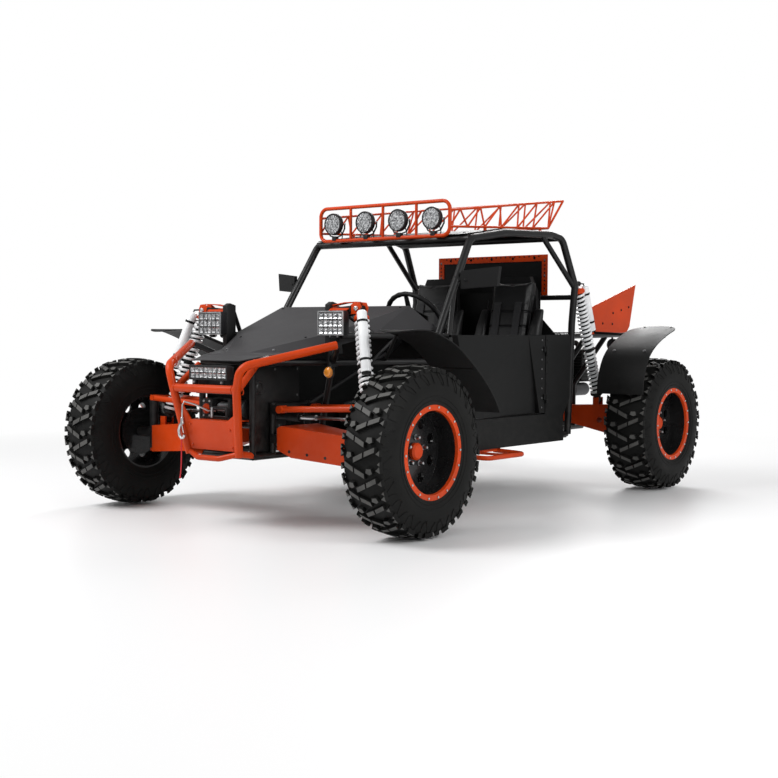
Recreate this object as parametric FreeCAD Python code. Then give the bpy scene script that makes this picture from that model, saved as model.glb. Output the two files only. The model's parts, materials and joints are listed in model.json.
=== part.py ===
import FreeCAD, Part
import math
import os

# Open off-road buggy on four lugged tyres. Lengths are in millimetres.
# X points forward, Y to the driver's left and Z up. The origin lies on the ground,
# under the middle of the whole vehicle.

# Driving sizes of the whole vehicle
wheelbase = 2400.0
front_track = 1840.0
rear_track = 1740.0
front_reach = 396.0
rear_reach = 480.0

# Wheels and tyres
tyre_radius = 381.0
front_tyre_width = 240.0
rear_tyre_width = 275.0
lug_height = 17.0
lug_repeats = 12
rim_radius = 190.0
rim_wall = 9.0
ring_radius = 214.0
ring_width = 14.0
hub_cap_radius = 38.0
dish_depth = 104.0
wheel_windows = 8
brake_disc_radius = 122.0
spindle_radius = 27.0
running_gap = 0.5

# Steering
kingpin_y = 760.0
kingpin_radius = 24.0
knuckle_bottom = 300.0
knuckle_top = 556.0
steering_arm = 120.0
tie_rod_z = 492.0
rack_radius = 13.0
steering_wheel_radius = 170.0
steering_wheel_tilt = 32.0
grip_sides = 10

# Tubes and sheets
frame_tube = 16.0
cross_tube = 15.0
cage_tube = 20.0
bumper_tube = 19.0
rack_tube = 10.0
truss_tube = 6.5
sheet = 4.0
seat_gap = 0.3

# Cabin
sill_bottom = 307.0
sill_top = 462.0
belt_height = 890.0
body_half_width = 655.0
door_thickness = 34.0
door_gap = 8.0
door_rear = -336.0
door_front = 492.0
crease_bend = (98.0, 738.0)
hinge_radius = 7.0
rail_height = 885.0
hood_slope = 0.301
mirror_sweep = 0.37
roof_front_height = 1388.0
roof_height = 1453.0
seat_width = 450.0
seat_centre = 275.0

# Suspension and frame
arm_pivot_y = 205.0
lower_arm_z = 402.0
upper_arm_z = 540.0
front_pivot = 90.0
rear_pivot = 150.0
nose_half_width = 165.0
nose_reach = 225.0
rail_mid = 757.0
tower_foot_y = 340.0
cradle_y = 270.0
rear_pivot_y = 300.0
rear_rail_y = 478.0
engine_half_width = 235.0
winch_tray_z = 492.0
rack_bays = 6

# Places that follow from the driving sizes
front_axle = wheelbase / 2 + (rear_reach - front_reach) / 2
rear_axle = front_axle - wheelbase
middle = (front_axle + rear_axle) / 2
front_wheel_y = front_track / 2
rear_wheel_y = rear_track / 2
front_end = front_axle + front_reach
rear_end = rear_axle - rear_reach
hook_x = front_end - 32.0
frame_half_width = body_half_width - 120.0
frame_low = sill_bottom + frame_tube
arm_end_y = kingpin_y - kingpin_radius - 8.0
rear_upright_y = rear_wheel_y - rear_tyre_width / 2 - 62.0
hoop_x = middle - 789.0
pillar_foot = FreeCAD.Vector(middle + 522.0, 556.0, rail_height)
hoop_bracket = FreeCAD.Vector(middle - 792.0, 572.0, 1176.0)
front_shock_top = FreeCAD.Vector(front_axle - 133.0, 511.0, 1010.0)
front_shock_bottom = FreeCAD.Vector(front_axle - 8.0, 672.0, 448.0)
rear_shock_top = FreeCAD.Vector(rear_axle + 362.0, 560.0, 1190.0)
rear_shock_bottom = FreeCAD.Vector(rear_axle + 100.0, 560.0, 508.0)
rack_rear_low = FreeCAD.Vector(middle - 609.0, 500.0, 1495.0)
rack_rear_high = FreeCAD.Vector(middle - 760.0, 506.0, 1660.0)


def vec(x, y, z):
    return FreeCAD.Vector(x, y, z)


def fuse(shapes):
    if len(shapes) == 1:
        return shapes[0]
    joined = shapes[0].multiFuse(shapes[1:]).removeSplitter()
    if joined.isValid():
        return joined
    # One at a time where joining all at once leaves a faulty face.
    joined = shapes[0]
    for shape in shapes[1:]:
        joined = joined.fuse(shape)
    return joined


def mirrored(shape):
    return shape.mirror(vec(0, 0, 0), vec(0, 1, 0))


def both_sides(shape):
    return Part.makeCompound([shape, mirrored(shape)])


def rod(start, end, radius):
    return Part.makeCylinder(radius, (end - start).Length, start, end - start)


def box(low, high):
    size = high - low
    return Part.makeBox(size.x, size.y, size.z, low)


def prism(points, push):
    outline = Part.makePolygon(list(points) + [points[0]])
    return Part.Face(outline).extrude(push)


def pipe(points, radius, bend):
    # A bent tube: straight runs joined by arcs of the given bend radius.
    pieces = []
    start = points[0]
    for here, after in zip(points[1:], points[2:] + [None]):
        run = here - start
        if after is None:
            pieces.append(rod(start, here, radius))
            break
        ahead = after - here
        turn = run.getAngle(ahead)
        if turn < 0.02:
            pieces.append(rod(start, here, radius))
            start = here
            continue
        room = 0.48 * min(run.Length, ahead.Length)
        back = min(bend * math.tan(turn / 2), room)
        arc_radius = back / math.tan(turn / 2)
        unit_in = FreeCAD.Vector(run).normalize()
        unit_out = FreeCAD.Vector(ahead).normalize()
        enter = here - unit_in * back
        hinge = unit_in.cross(unit_out)
        hinge.normalize()
        centre = enter + hinge.cross(unit_in) * arc_radius
        section = Part.Face(Part.Wire(Part.makeCircle(radius, enter, unit_in)))
        pieces.append(rod(start, enter, radius))
        pieces.append(section.revolve(centre, hinge, math.degrees(turn)))
        start = here + unit_out * back
    return fuse(pieces)


def curved_sheet(points, low_y, high_y, thickness):
    # A sheet that follows a smooth side profile, with its thickness on the inner side.
    inner = []
    for i, (x, z) in enumerate(points):
        before = points[max(i - 1, 0)]
        after = points[min(i + 1, len(points) - 1)]
        dx = after[0] - before[0]
        dz = after[1] - before[1]
        length = math.hypot(dx, dz)
        inner.append((x - dz / length * thickness, z + dx / length * thickness))
    outer_curve = Part.BSplineCurve()
    outer_curve.interpolate([vec(x, low_y, z) for x, z in points])
    inner_curve = Part.BSplineCurve()
    inner_curve.interpolate([vec(x, low_y, z) for x, z in reversed(inner)])
    corners = [
        vec(points[-1][0], low_y, points[-1][1]),
        vec(inner[-1][0], low_y, inner[-1][1]),
        vec(inner[0][0], low_y, inner[0][1]),
        vec(points[0][0], low_y, points[0][1]),
    ]
    outline = Part.Wire([
        outer_curve.toShape(),
        Part.makeLine(corners[0], corners[1]),
        inner_curve.toShape(),
        Part.makeLine(corners[2], corners[3]),
    ])
    return Part.Face(outline).extrude(vec(0, high_y - low_y, 0))


def export(name, shape):
    shape.exportStep("parts/" + name + ".step")


# Wheels. Each is made about the Y axis at the origin, with its outer face towards +Y.

def turned(profile):
    outline = Part.makePolygon([vec(0, y, r) for y, r in profile + [profile[0]]])
    return Part.Face(outline).revolve(vec(0, 0, 0), vec(0, 1, 0), 360)


def lug(outline, angle, bottom, top):
    radial = vec(math.cos(angle), 0, math.sin(angle))
    tangent = vec(-math.sin(angle), 0, math.cos(angle))
    corners = [radial * bottom + vec(0, y, 0) + tangent * s for y, s in outline]
    return prism(corners, radial * (top - bottom))


def tyre(width):
    # Carcass with a slanted bar and a shoulder block each side at every repeat of the tread.
    half = width / 2
    crown = tyre_radius - lug_height
    bead_half = half - 16.0
    left_profile = [
        (bead_half, rim_radius), (half, 262.0), (half - 4.0, 316.0), (half - 22.0, crown - 12.0),
        (0.45 * half, crown - 2.0),
    ]
    carcass = turned(left_profile + [(-y, radius) for y, radius in reversed(left_profile)])
    pitch = 2 * math.pi / lug_repeats
    arc = pitch * tyre_radius
    bar_half = 0.07 * arc
    slant = 0.10 * arc
    shoulder_half = 0.10 * arc
    top = math.sqrt(tyre_radius ** 2 - (bar_half + slant) ** 2)
    bottom = crown - 34.0
    bar = [
        (-0.22 * half, -slant - bar_half),
        (0.72 * half, slant - bar_half),
        (0.72 * half, slant + bar_half),
        (-0.22 * half, -slant + bar_half),
    ]
    shoulder = [
        (0.66 * half, 0),
        (0.97 * half, -shoulder_half),
        (0.97 * half, shoulder_half),
    ]
    lugs = []
    for i in range(lug_repeats):
        angle = i * pitch
        lugs.append(lug(bar, angle, bottom, top))
        lugs.append(lug(shoulder, angle + 0.45 * pitch, bottom, top))
        other = angle + pitch / 2
        lugs.append(lug([(-y, s) for y, s in bar], other, bottom, top))
        lugs.append(lug([(-y, s) for y, s in shoulder], other + 0.45 * pitch, bottom, top))
    inner_seat = turned([
        (-half - 20.0, rim_radius - 20.0), (-half - 20.0, ring_radius - 8.0 + seat_gap),
        (-bead_half + 8.0 + seat_gap, ring_radius - 8.0 + seat_gap),
        (-bead_half + 8.0 + seat_gap, rim_radius - 20.0),
    ])
    ring_back = half - 9.0 - ring_width - seat_gap
    outer_seat = turned([
        (ring_back, rim_radius - 20.0), (ring_back, ring_radius + seat_gap),
        (half + 20.0, ring_radius + seat_gap), (half + 20.0, rim_radius - 20.0),
    ])
    lip_back = bead_half - seat_gap
    lip_seat = turned([
        (lip_back - 12.0, rim_radius - 20.0), (lip_back - 12.0, ring_radius - 8.0 + seat_gap),
        (half, ring_radius - 8.0 + seat_gap), (half, rim_radius - 20.0),
    ])
    return carcass.multiFuse(lugs).cut([inner_seat, outer_seat, lip_seat])


def rim(width, ring_face):
    # Barrel, dished disc with windows, hub and brake disc in one piece.
    half = width / 2 - 16.0
    disc_face = ring_face - dish_depth
    inner = rim_radius - rim_wall
    barrel = turned([
        (-half, inner), (-half, ring_radius - 8.0), (-half + 8.0, ring_radius - 8.0),
        (-half + 8.0, rim_radius - seat_gap), (half, rim_radius - seat_gap),
        (half, ring_radius - 8.0), (ring_face - ring_width - seat_gap, ring_radius - 8.0),
        (ring_face - ring_width - seat_gap, inner),
    ])
    disc = turned([
        (disc_face - 14.0, spindle_radius + running_gap), (disc_face - 14.0, inner + 2.0),
        (disc_face - 4.0, inner + 2.0), (disc_face, hub_cap_radius + 45.0),
        (disc_face, spindle_radius + running_gap),
    ])
    window = Part.makeCylinder(24.0, 60.0, vec(0, disc_face - 40.0, 128.0), vec(0, 1, 0))
    windows = []
    for i in range(wheel_windows):
        turn = (i + 0.5) * 360.0 / wheel_windows
        windows.append(window.copy().rotate(vec(0, 0, 0), vec(0, 1, 0), turn))
    disc = disc.cut(windows)
    hub = turned([
        (disc_face - 62.0, spindle_radius + running_gap), (disc_face - 62.0, brake_disc_radius),
        (disc_face - 54.0, brake_disc_radius), (disc_face - 54.0, spindle_radius + 22.0),
        (disc_face - 10.0, spindle_radius + 22.0), (disc_face - 10.0, spindle_radius + running_gap),
    ])
    return fuse([barrel, disc, hub])


def wheel_trim(ring_face):
    # The bolted bead ring and, deep in the dish, the hub cap.
    disc_face = ring_face - dish_depth
    ring = turned([
        (ring_face - ring_width, rim_radius - rim_wall), (ring_face - ring_width, ring_radius),
        (ring_face - 4.0, ring_radius), (ring_face, ring_radius - 5.0),
        (ring_face, rim_radius - rim_wall + 3.0),
    ])
    cap = turned([
        (disc_face + seat_gap, 0), (disc_face + seat_gap, hub_cap_radius),
        (disc_face + 16.0, hub_cap_radius), (disc_face + 24.0, hub_cap_radius - 8.0),
        (disc_face + 24.0, 0),
    ])
    return Part.makeCompound([ring, cap])


def wheels():
    sets = [
        ("front", front_axle, front_wheel_y, front_tyre_width),
        ("rear", rear_axle, rear_wheel_y, rear_tyre_width),
    ]
    for place, axle, track_y, width in sets:
        ring_face = width / 2 - 9.0
        pieces = {
            "tyre_": tyre(width),
            "rim_": rim(width, ring_face),
            "wheel_trim_": wheel_trim(ring_face),
        }
        for kind, shape in pieces.items():
            left = shape.copy()
            left.translate(vec(axle, track_y, tyre_radius))
            export(kind + place + "_left", left)
            export(kind + place + "_right", mirrored(left))


# Steering: the knuckles that carry the front wheels, the rack and the hand wheel

def spindle(x, start_y, wheel_y, width, z):
    disc_face = wheel_y + width / 2 - 9.0 - dish_depth
    return rod(vec(x, start_y, z), vec(x, disc_face - 1.0, z), spindle_radius)


def caliper(x, wheel_y, width, z):
    # A brake caliper that reaches round the disc's rear edge.
    disc_y = wheel_y + width / 2 - 9.0 - dish_depth - 58.0
    inboard = disc_y - 4.0 - 5.0
    outboard = disc_y + 4.0 + 5.0
    low = z - 38.0
    high = z + 38.0
    far = x - brake_disc_radius - 26.0
    near = x - brake_disc_radius + 34.0
    back = x - brake_disc_radius - 6.0
    halves = [
        box(vec(far, inboard - 20.0, low), vec(near, inboard, high)),
        box(vec(far, outboard, low), vec(near, outboard + 14.0, high)),
        box(vec(far, inboard - 1.0, low), vec(back, outboard + 1.0, high)),
    ]
    return fuse(halves), inboard - 20.0


def knuckle():
    post = rod(vec(front_axle, kingpin_y, knuckle_bottom), vec(front_axle, kingpin_y, knuckle_top),
               kingpin_radius)
    axle = spindle(front_axle, kingpin_y, front_wheel_y, front_tyre_width, tyre_radius)
    pads, pad_face = caliper(front_axle, front_wheel_y, front_tyre_width, tyre_radius)
    bracket = box(vec(front_axle - brake_disc_radius - 10.0, kingpin_y + 8.0, tyre_radius - 22.0),
                  vec(front_axle, kingpin_y + 20.0, tyre_radius + 22.0))
    bracket_end = box(vec(front_axle - brake_disc_radius - 10.0, kingpin_y + 8.0, tyre_radius - 22.0),
                      vec(front_axle - brake_disc_radius + 20.0, pad_face + 1.0, tyre_radius + 22.0))
    arm_z = tie_rod_z - 34.0
    arm = prism([
        vec(front_axle + 12.0, kingpin_y - 18.0, arm_z),
        vec(front_axle + 12.0, kingpin_y + 18.0, arm_z),
        vec(front_axle - steering_arm - 14.0, kingpin_y - 3.0, arm_z),
        vec(front_axle - steering_arm - 14.0, kingpin_y - 29.0, arm_z),
    ], vec(0, 0, 16.0))
    return fuse([post, axle, pads, bracket, bracket_end, arm])


def steering_rack():
    # Rack bar and both tie rods, which slide sideways together.
    x = front_axle - steering_arm
    end_y = kingpin_y - 16.0
    bar = rod(vec(x, -250.0, tie_rod_z), vec(x, 250.0, tie_rod_z), rack_radius)
    pieces = [bar]
    for side in (-1, 1):
        pieces.append(rod(vec(x, side * 230.0, tie_rod_z), vec(x, side * end_y, tie_rod_z), 8.0))
        pieces.append(rod(vec(x, side * end_y, tie_rod_z - 12.0), vec(x, side * end_y, tie_rod_z + 12.0),
                          14.0))
    return fuse(pieces)


def steering_frame():
    # The hand wheel's centre and the direction of its column towards the driver.
    tilt = math.radians(steering_wheel_tilt)
    centre = vec(middle + 330.0, seat_centre, 955.0)
    return centre, vec(-math.cos(tilt), 0, math.sin(tilt))


def steering_gear():
    # Rack housing, steering shaft and column tube in one piece.
    centre, back = steering_frame()
    x = front_axle - steering_arm
    housing = rod(vec(x, -150.0, tie_rod_z), vec(x, 150.0, tie_rod_z), rack_radius + 10.0)
    foot = box(vec(x - 18.0, -70.0, tie_rod_z - 40.0), vec(x + 18.0, 70.0, tie_rod_z - rack_radius - 4.0))
    column_end = centre - back * 60.0
    column_start = centre - back * 300.0
    column = rod(column_start, column_end, 22.0)
    shaft = rod(vec(x, 110.0, tie_rod_z + rack_radius + 6.0), column_start, 11.0)
    bore = rod(vec(x, -160.0, tie_rod_z), vec(x, 160.0, tie_rod_z), rack_radius + running_gap)
    return fuse([housing, foot, shaft, column]).cut(bore)


def steering_wheel():
    centre, back = steering_frame()
    up = vec(-back.z, 0, back.x) * -1.0
    side = vec(0, 1, 0)
    section = []
    for i in range(grip_sides + 1):
        turn = 2 * math.pi * i / grip_sides
        section.append(centre + side * (steering_wheel_radius + 14.0 * math.cos(turn))
                       + back * (14.0 * math.sin(turn)))
    ring = Part.Face(Part.makePolygon(section)).revolve(centre, back, 360)
    hub = rod(centre - back * 44.0, centre - back * 8.0, 34.0)
    stub = rod(centre - back * (60.0 - running_gap), centre - back * 40.0, 18.0)
    spokes = []
    for angle in (90.0, 210.0, 330.0):
        reach = (side * math.cos(math.radians(angle)) - up * math.sin(math.radians(angle)))
        spokes.append(rod(centre - back * 24.0, centre + reach * (steering_wheel_radius - 6.0), 8.0))
    return fuse([ring, hub, stub] + spokes)


# Suspension

def ball_joint_ear(z_low, z_high, reach_y):
    x = front_axle
    ear = rod(vec(x, kingpin_y, z_low), vec(x, kingpin_y, z_high), kingpin_radius - 2.0)
    half = kingpin_radius - 2.0
    neck = box(vec(x - half, reach_y, z_low), vec(x + half, kingpin_y, z_high))
    return fuse([ear, neck])




def front_lower_arm():
    # A deep plated arm: its plan tapers to the ball joint and its front view to both ends.
    x = front_axle
    low_ear = knuckle_bottom - running_gap
    plan = prism([
        vec(x + 105.0, arm_pivot_y, 0), vec(x + 45.0, arm_end_y, 0),
        vec(x - 45.0, arm_end_y, 0), vec(x - 160.0, arm_pivot_y, 0),
    ], vec(0, 0, 1000.0))
    front = prism([
        vec(x - 400.0, arm_pivot_y, 352.0), vec(x - 400.0, arm_pivot_y, 452.0),
        vec(x - 400.0, arm_pivot_y + 20.0, 463.0), vec(x - 400.0, arm_end_y, 418.0),
        vec(x - 400.0, arm_end_y, low_ear - 16.0), vec(x - 400.0, arm_pivot_y + 80.0, 318.0),
    ], vec(800.0, 0, 0))
    ear = ball_joint_ear(low_ear - 16.0, low_ear, arm_end_y - 4.0)
    return fuse([plan.common(front), ear] + shock_ears(front_shock_bottom, 40.0))


def shock_ears(pin, depth):
    # Two ears that hold a shock's lower eye.
    ears = []
    for inner in (-29.0 - seat_gap, 20.0 + seat_gap):
        ears.append(box(pin + vec(inner, -18.0, -depth), pin + vec(inner + 9.0, 18.0, 18.0)))
    return ears


def front_upper_arm():
    # Two tubes that spread from the upper ball joint, one each side of the shock.
    x = front_axle
    high_ear = knuckle_top + running_gap
    ear = ball_joint_ear(high_ear, high_ear + 16.0, arm_end_y - 10.0)
    bridge = box(vec(x - 112.0, arm_end_y - 30.0, high_ear - 8.0),
                 vec(x + 62.0, arm_end_y - 4.0, high_ear + 14.0))
    outer_z = high_ear + 3.0
    pivot_y = arm_pivot_y + 18.0
    pieces = [ear, bridge]
    for pivot_x, outer_x in ((x + front_pivot, x + 46.0), (x - rear_pivot, x - 98.0)):
        pivot = vec(pivot_x, pivot_y, upper_arm_z)
        pieces.append(rod(pivot, vec(outer_x, arm_end_y - 18.0, outer_z), 14.0))
        pieces.append(rod(pivot - vec(24.0, 0, 0), pivot + vec(24.0, 0, 0), 18.0))
    return fuse(pieces)


def rear_arm():
    # A plated box ahead of the axle and a round link behind it.
    x = rear_axle
    plan = prism([
        vec(x + 190.0, rear_pivot_y, 0), vec(x + 108.0, rear_upright_y, 0),
        vec(x + 38.0, rear_upright_y, 0), vec(x + 60.0, rear_pivot_y, 0),
    ], vec(0, 0, 1000.0))
    front = prism([
        vec(x - 400.0, rear_pivot_y, 398.0), vec(x - 400.0, rear_pivot_y, 470.0),
        vec(x - 400.0, rear_upright_y, 486.0), vec(x - 400.0, rear_upright_y, 304.0),
    ], vec(800.0, 0, 0))
    hole = rod(vec(x + 20.0, 585.0, 392.0), vec(x + 260.0, 585.0, 392.0), 16.0)
    link_in = vec(x - 110.0, rear_pivot_y + 16.0, 410.0)
    link_out = vec(x - 50.0, rear_upright_y - 16.0, 345.0)
    link = fuse([
        rod(link_in, link_out, 12.0),
        rod(link_in - vec(20.0, 0, 0), link_in + vec(20.0, 0, 0), 16.0),
        rod(link_out - vec(18.0, 0, 0), link_out + vec(18.0, 0, 0), 16.0),
    ])
    return [fuse([plan.common(front).cut(hole)] + shock_ears(rear_shock_bottom, 42.0)), link]


def suspension_arms():
    arms = [front_lower_arm(), front_upper_arm()] + rear_arm()
    return Part.makeCompound(arms + [mirrored(arm) for arm in arms])


def rear_hub():
    # Bearing carrier, spindle, caliper and the half shaft that reaches in to the gearbox.
    x = rear_axle
    carrier = box(vec(x - 70.0, rear_upright_y + seat_gap, tyre_radius - 72.0),
                  vec(x + 70.0, rear_upright_y + 50.0, tyre_radius + 78.0))
    axle = spindle(x, rear_upright_y + 20.0, rear_wheel_y, rear_tyre_width, tyre_radius)
    pads, pad_face = caliper(x, rear_wheel_y, rear_tyre_width, tyre_radius)
    low = tyre_radius - 22.0
    high = tyre_radius + 22.0
    pad_x = x - brake_disc_radius
    bracket = box(vec(pad_x - 10.0, rear_upright_y + 30.0, low), vec(x - 40.0, rear_upright_y + 44.0, high))
    bracket_end = box(vec(pad_x - 10.0, rear_upright_y + 30.0, low), vec(pad_x + 20.0, pad_face + 1.0, high))
    inner = vec(x, engine_half_width + seat_gap, tyre_radius)
    shaft = rod(inner, vec(x, rear_upright_y + 10.0, tyre_radius), 14.0)
    boot_in = rod(inner, inner + vec(0, 60.0, 0), 30.0)
    boot_start = vec(x, rear_upright_y - 60.0, tyre_radius)
    boot_out = rod(boot_start, vec(x, rear_upright_y + 2.0, tyre_radius), 30.0)
    return fuse([carrier, axle, pads, bracket, bracket_end, shaft, boot_in, boot_out])


def coil_shock(top, bottom, tank_offset, tank_share):
    # Damper body with its coil spring as a sleeve, plus the tall reservoir beside it.
    axis = bottom - top
    unit = FreeCAD.Vector(axis).normalize()
    length = axis.Length
    damper = rod(top, bottom, 12.0)
    eye_top = rod(top - vec(16.0, 0, 0), top + vec(16.0, 0, 0), 20.0)
    eye_bottom = rod(bottom - vec(20.0, 0, 0), bottom + vec(20.0, 0, 0), 18.0)
    coil = rod(top + unit * 50.0, top + unit * (length - 45.0), 37.0)
    tank_top = top + unit * 14.0 + tank_offset
    tank = rod(tank_top, tank_top + unit * (length * tank_share), 24.0)
    link = rod(top + unit * 50.0, top + unit * 50.0 + tank_offset, 12.0)
    return fuse([damper, eye_top, eye_bottom, coil, tank, link])


def shocks():
    front = coil_shock(front_shock_top, front_shock_bottom, vec(46.0, 42.0, 0), 0.46)
    rear = coil_shock(rear_shock_top, rear_shock_bottom, vec(-62.0, 8.0, 0), 0.34)
    return Part.makeCompound([front, mirrored(front), rear, mirrored(rear)])


def shock_towers(frame):
    # A post with a rear leg and two bracket plates that reach out to each front shock's top eye.
    top = front_shock_top
    apex = top.z + 34.0
    outline = [
        (-25.0, rail_mid - 20.0), (40.0, rail_mid - 20.0), (40.0, apex - 14.0), (14.0, apex),
        (-25.0, apex - 10.0),
    ]
    post = prism([vec(top.x + x, tower_foot_y - 14.0, z) for x, z in outline], vec(0, 28.0, 0))
    leg = rod(vec(top.x - 12.0, tower_foot_y, apex - 18.0), vec(top.x - 188.0, 450.0, rail_height), 11.0)
    pieces = [post, leg]
    for x in (top.x + 23.0, top.x - 25.0):
        pieces.append(prism([
            vec(x, tower_foot_y + 10.0, apex - 90.0), vec(x, tower_foot_y + 10.0, apex - 10.0),
            vec(x, top.y + 20.0, top.z + 22.0), vec(x, top.y + 26.0, top.z - 22.0),
            vec(x, top.y - 30.0, top.z - 26.0),
        ], vec(8.0, 0, 0)))
    return both_sides(fuse(pieces)).cut(frame)


# Frame and cage

def chassis_half():
    nose = front_axle + nose_reach
    foot = vec(middle + 470.0, frame_half_width, frame_low)
    tower = vec(front_shock_top.x, tower_foot_y, rail_mid)
    pieces = [
        pipe([
            vec(nose, nose_half_width, frame_low), vec(front_axle - 230.0, nose_half_width, frame_low),
            vec(middle + 420.0, frame_half_width, frame_low), vec(hoop_x, frame_half_width, frame_low),
            vec(rear_axle + 240.0, cradle_y, frame_low), vec(rear_axle - 220.0, cradle_y, frame_low),
        ], frame_tube, 60.0),
        pipe([
            vec(nose, nose_half_width, frame_low), vec(nose, nose_half_width, rail_mid),
            tower, vec(pillar_foot.x - 20.0, frame_half_width, rail_mid),
        ], frame_tube, 50.0),
        rod(vec(tower.x, tower.y + 55.0, rail_height), pillar_foot, frame_tube),
        rod(vec(tower.x - 190.0, 415.0, rail_mid), vec(tower.x - 310.0, 478.0, rail_height), 11.0),
        rod(foot, pillar_foot, cross_tube),
        rod(tower, vec(front_axle - 14.0, 470.0, 836.0), cross_tube),
        rod(vec(front_axle - 230.0, nose_half_width, frame_low), tower, cross_tube),
    ]
    for x in (front_axle + front_pivot, front_axle - rear_pivot):
        pieces.append(rod(vec(x, nose_half_width, frame_low),
                          vec(x, nose_half_width, upper_arm_z + 30.0), cross_tube))
        for z in (lower_arm_z, upper_arm_z):
            pieces.append(box(vec(x - 17.0, nose_half_width, z - 20.0),
                              vec(x + 17.0, arm_pivot_y - seat_gap, z + 20.0)))
    pieces.append(rod(vec(front_axle + front_pivot, nose_half_width, upper_arm_z + 14.0),
                      vec(front_axle - rear_pivot, nose_half_width, upper_arm_z + 14.0), frame_tube))
    for x in (rear_axle + 125.0, rear_axle - 110.0):
        pieces.append(pipe([
            vec(x, cradle_y, frame_low), vec(x, cradle_y, 590.0), vec(x - 20.0, rear_rail_y, rail_height),
        ], frame_tube, 60.0))
        pieces.append(box(vec(x - 17.0, cradle_y, 392.0), vec(x + 17.0, rear_pivot_y - seat_gap, 428.0)))
    pieces.append(rod(vec(hoop_x, rear_rail_y, rail_height),
                      vec(rear_end + 80.0, rear_rail_y, rail_height + 14.0), frame_tube))
    return fuse(pieces)


def chassis_frame():
    half = chassis_half()
    nose = front_axle + nose_reach
    crosses = [
        (nose, nose_half_width, frame_low),
        (nose, nose_half_width, 470.0),
        (nose, nose_half_width, rail_mid),
        (front_axle - 230.0, nose_half_width, frame_low),
        (middle + 420.0, frame_half_width, frame_low),
        (middle - 100.0, frame_half_width, frame_low),
        (hoop_x, frame_half_width, frame_low),
        (pillar_foot.x, pillar_foot.y, rail_height),
        (front_shock_top.x, tower_foot_y, rail_mid),
        (hoop_x, rear_rail_y, rail_height),
        (rear_axle - 220.0, cradle_y, frame_low),
        (rear_end + 88.0, rear_rail_y, rail_height + 14.0),
    ]
    bars = [rod(vec(x, -y, z), vec(x, y, z), cross_tube) for x, y, z in crosses]
    return fuse([half] + bars + [mirrored(half)])


def cage_half():
    # From the front foot up the windscreen pillar, back along the roof and down the hoop.
    roof_front = vec(middle + 193.0, 519.0, roof_front_height)
    main = pipe([
        pillar_foot, roof_front, vec(middle - 117.0, 532.0, roof_height - 17.0),
        vec(middle - 560.0, 550.0, roof_height), vec(middle - 666.0, 559.0, roof_height - 18.0),
        hoop_bracket, vec(hoop_x, 556.0, 960.0), vec(hoop_x, frame_half_width, frame_low),
    ], cage_tube, 70.0)
    spread = roof_front + (pillar_foot - roof_front) * 0.5
    leg_foot = vec(middle + 493.0, 604.0, rail_height)
    leg = rod(spread, leg_foot, 14.0)
    foot_bar = rod(leg_foot, pillar_foot, 14.0)
    diagonal = rod(vec(middle - 463.0, 545.0, roof_height - 4.0), hoop_bracket - vec(0, 6.0, 10.0), 15.0)
    shock_pin = rod(vec(hoop_bracket.x, rear_shock_top.y, rear_shock_top.z),
                    rear_shock_top + vec(16.0 + seat_gap, 0, 0), 13.0)
    return fuse([main, leg, foot_bar, diagonal, shock_pin])


def roll_cage(frame):
    half = cage_half()
    crosses = [
        (middle + 193.0, 519.0, roof_front_height, cage_tube),
        (middle - 180.0, 534.0, roof_height - 14.0, 15.0),
        (middle - 620.0, 554.0, roof_height - 14.0, cage_tube),
        (middle - 791.0, 566.0, 1110.0, 15.0),
    ]
    bars = [rod(vec(x, -y, z), vec(x, y, z), r) for x, y, z, r in crosses]
    return fuse([half, mirrored(half)] + bars).cut(frame)


# Body panels

def floor_pan():
    top = sill_bottom - seat_gap / 6
    outline = [
        (front_axle - 250.0, nose_half_width), (middle + 430.0, frame_half_width),
        (middle - 780.0, frame_half_width), (middle - 780.0, -frame_half_width),
        (middle + 430.0, -frame_half_width), (front_axle - 250.0, -nose_half_width),
    ]
    return prism([vec(x, y, top) for x, y in outline], vec(0, 0, -sheet))


def side_pods(cage):
    # The box under the door, with the tall quarter box behind the door on its rear end.
    inner = frame_half_width + frame_tube + seat_gap
    width = vec(0, body_half_width - inner, 0)
    base = box(vec(middle + door_rear - 24.0, inner, sill_bottom),
               vec(middle + 470.0, body_half_width, sill_top))
    outline = [
        (door_rear - door_gap, sill_bottom), (door_rear - door_gap, belt_height + 3.0),
        (-602.0, belt_height + 3.0), (-604.0, 547.0), (-535.0, 447.0), (-540.0, sill_bottom),
    ]
    pod = prism([vec(middle + x, inner, z) for x, z in outline], width)
    barrels = [hinge_barrel(z, z + 20.0, door_rear - door_gap - 14.0) for z in hinge_heights()]
    return both_sides(fuse([base, pod] + barrels)).cut(cage)


def hood_height(x):
    return 1034.0 - hood_slope * (x - middle - 588.0)


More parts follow.
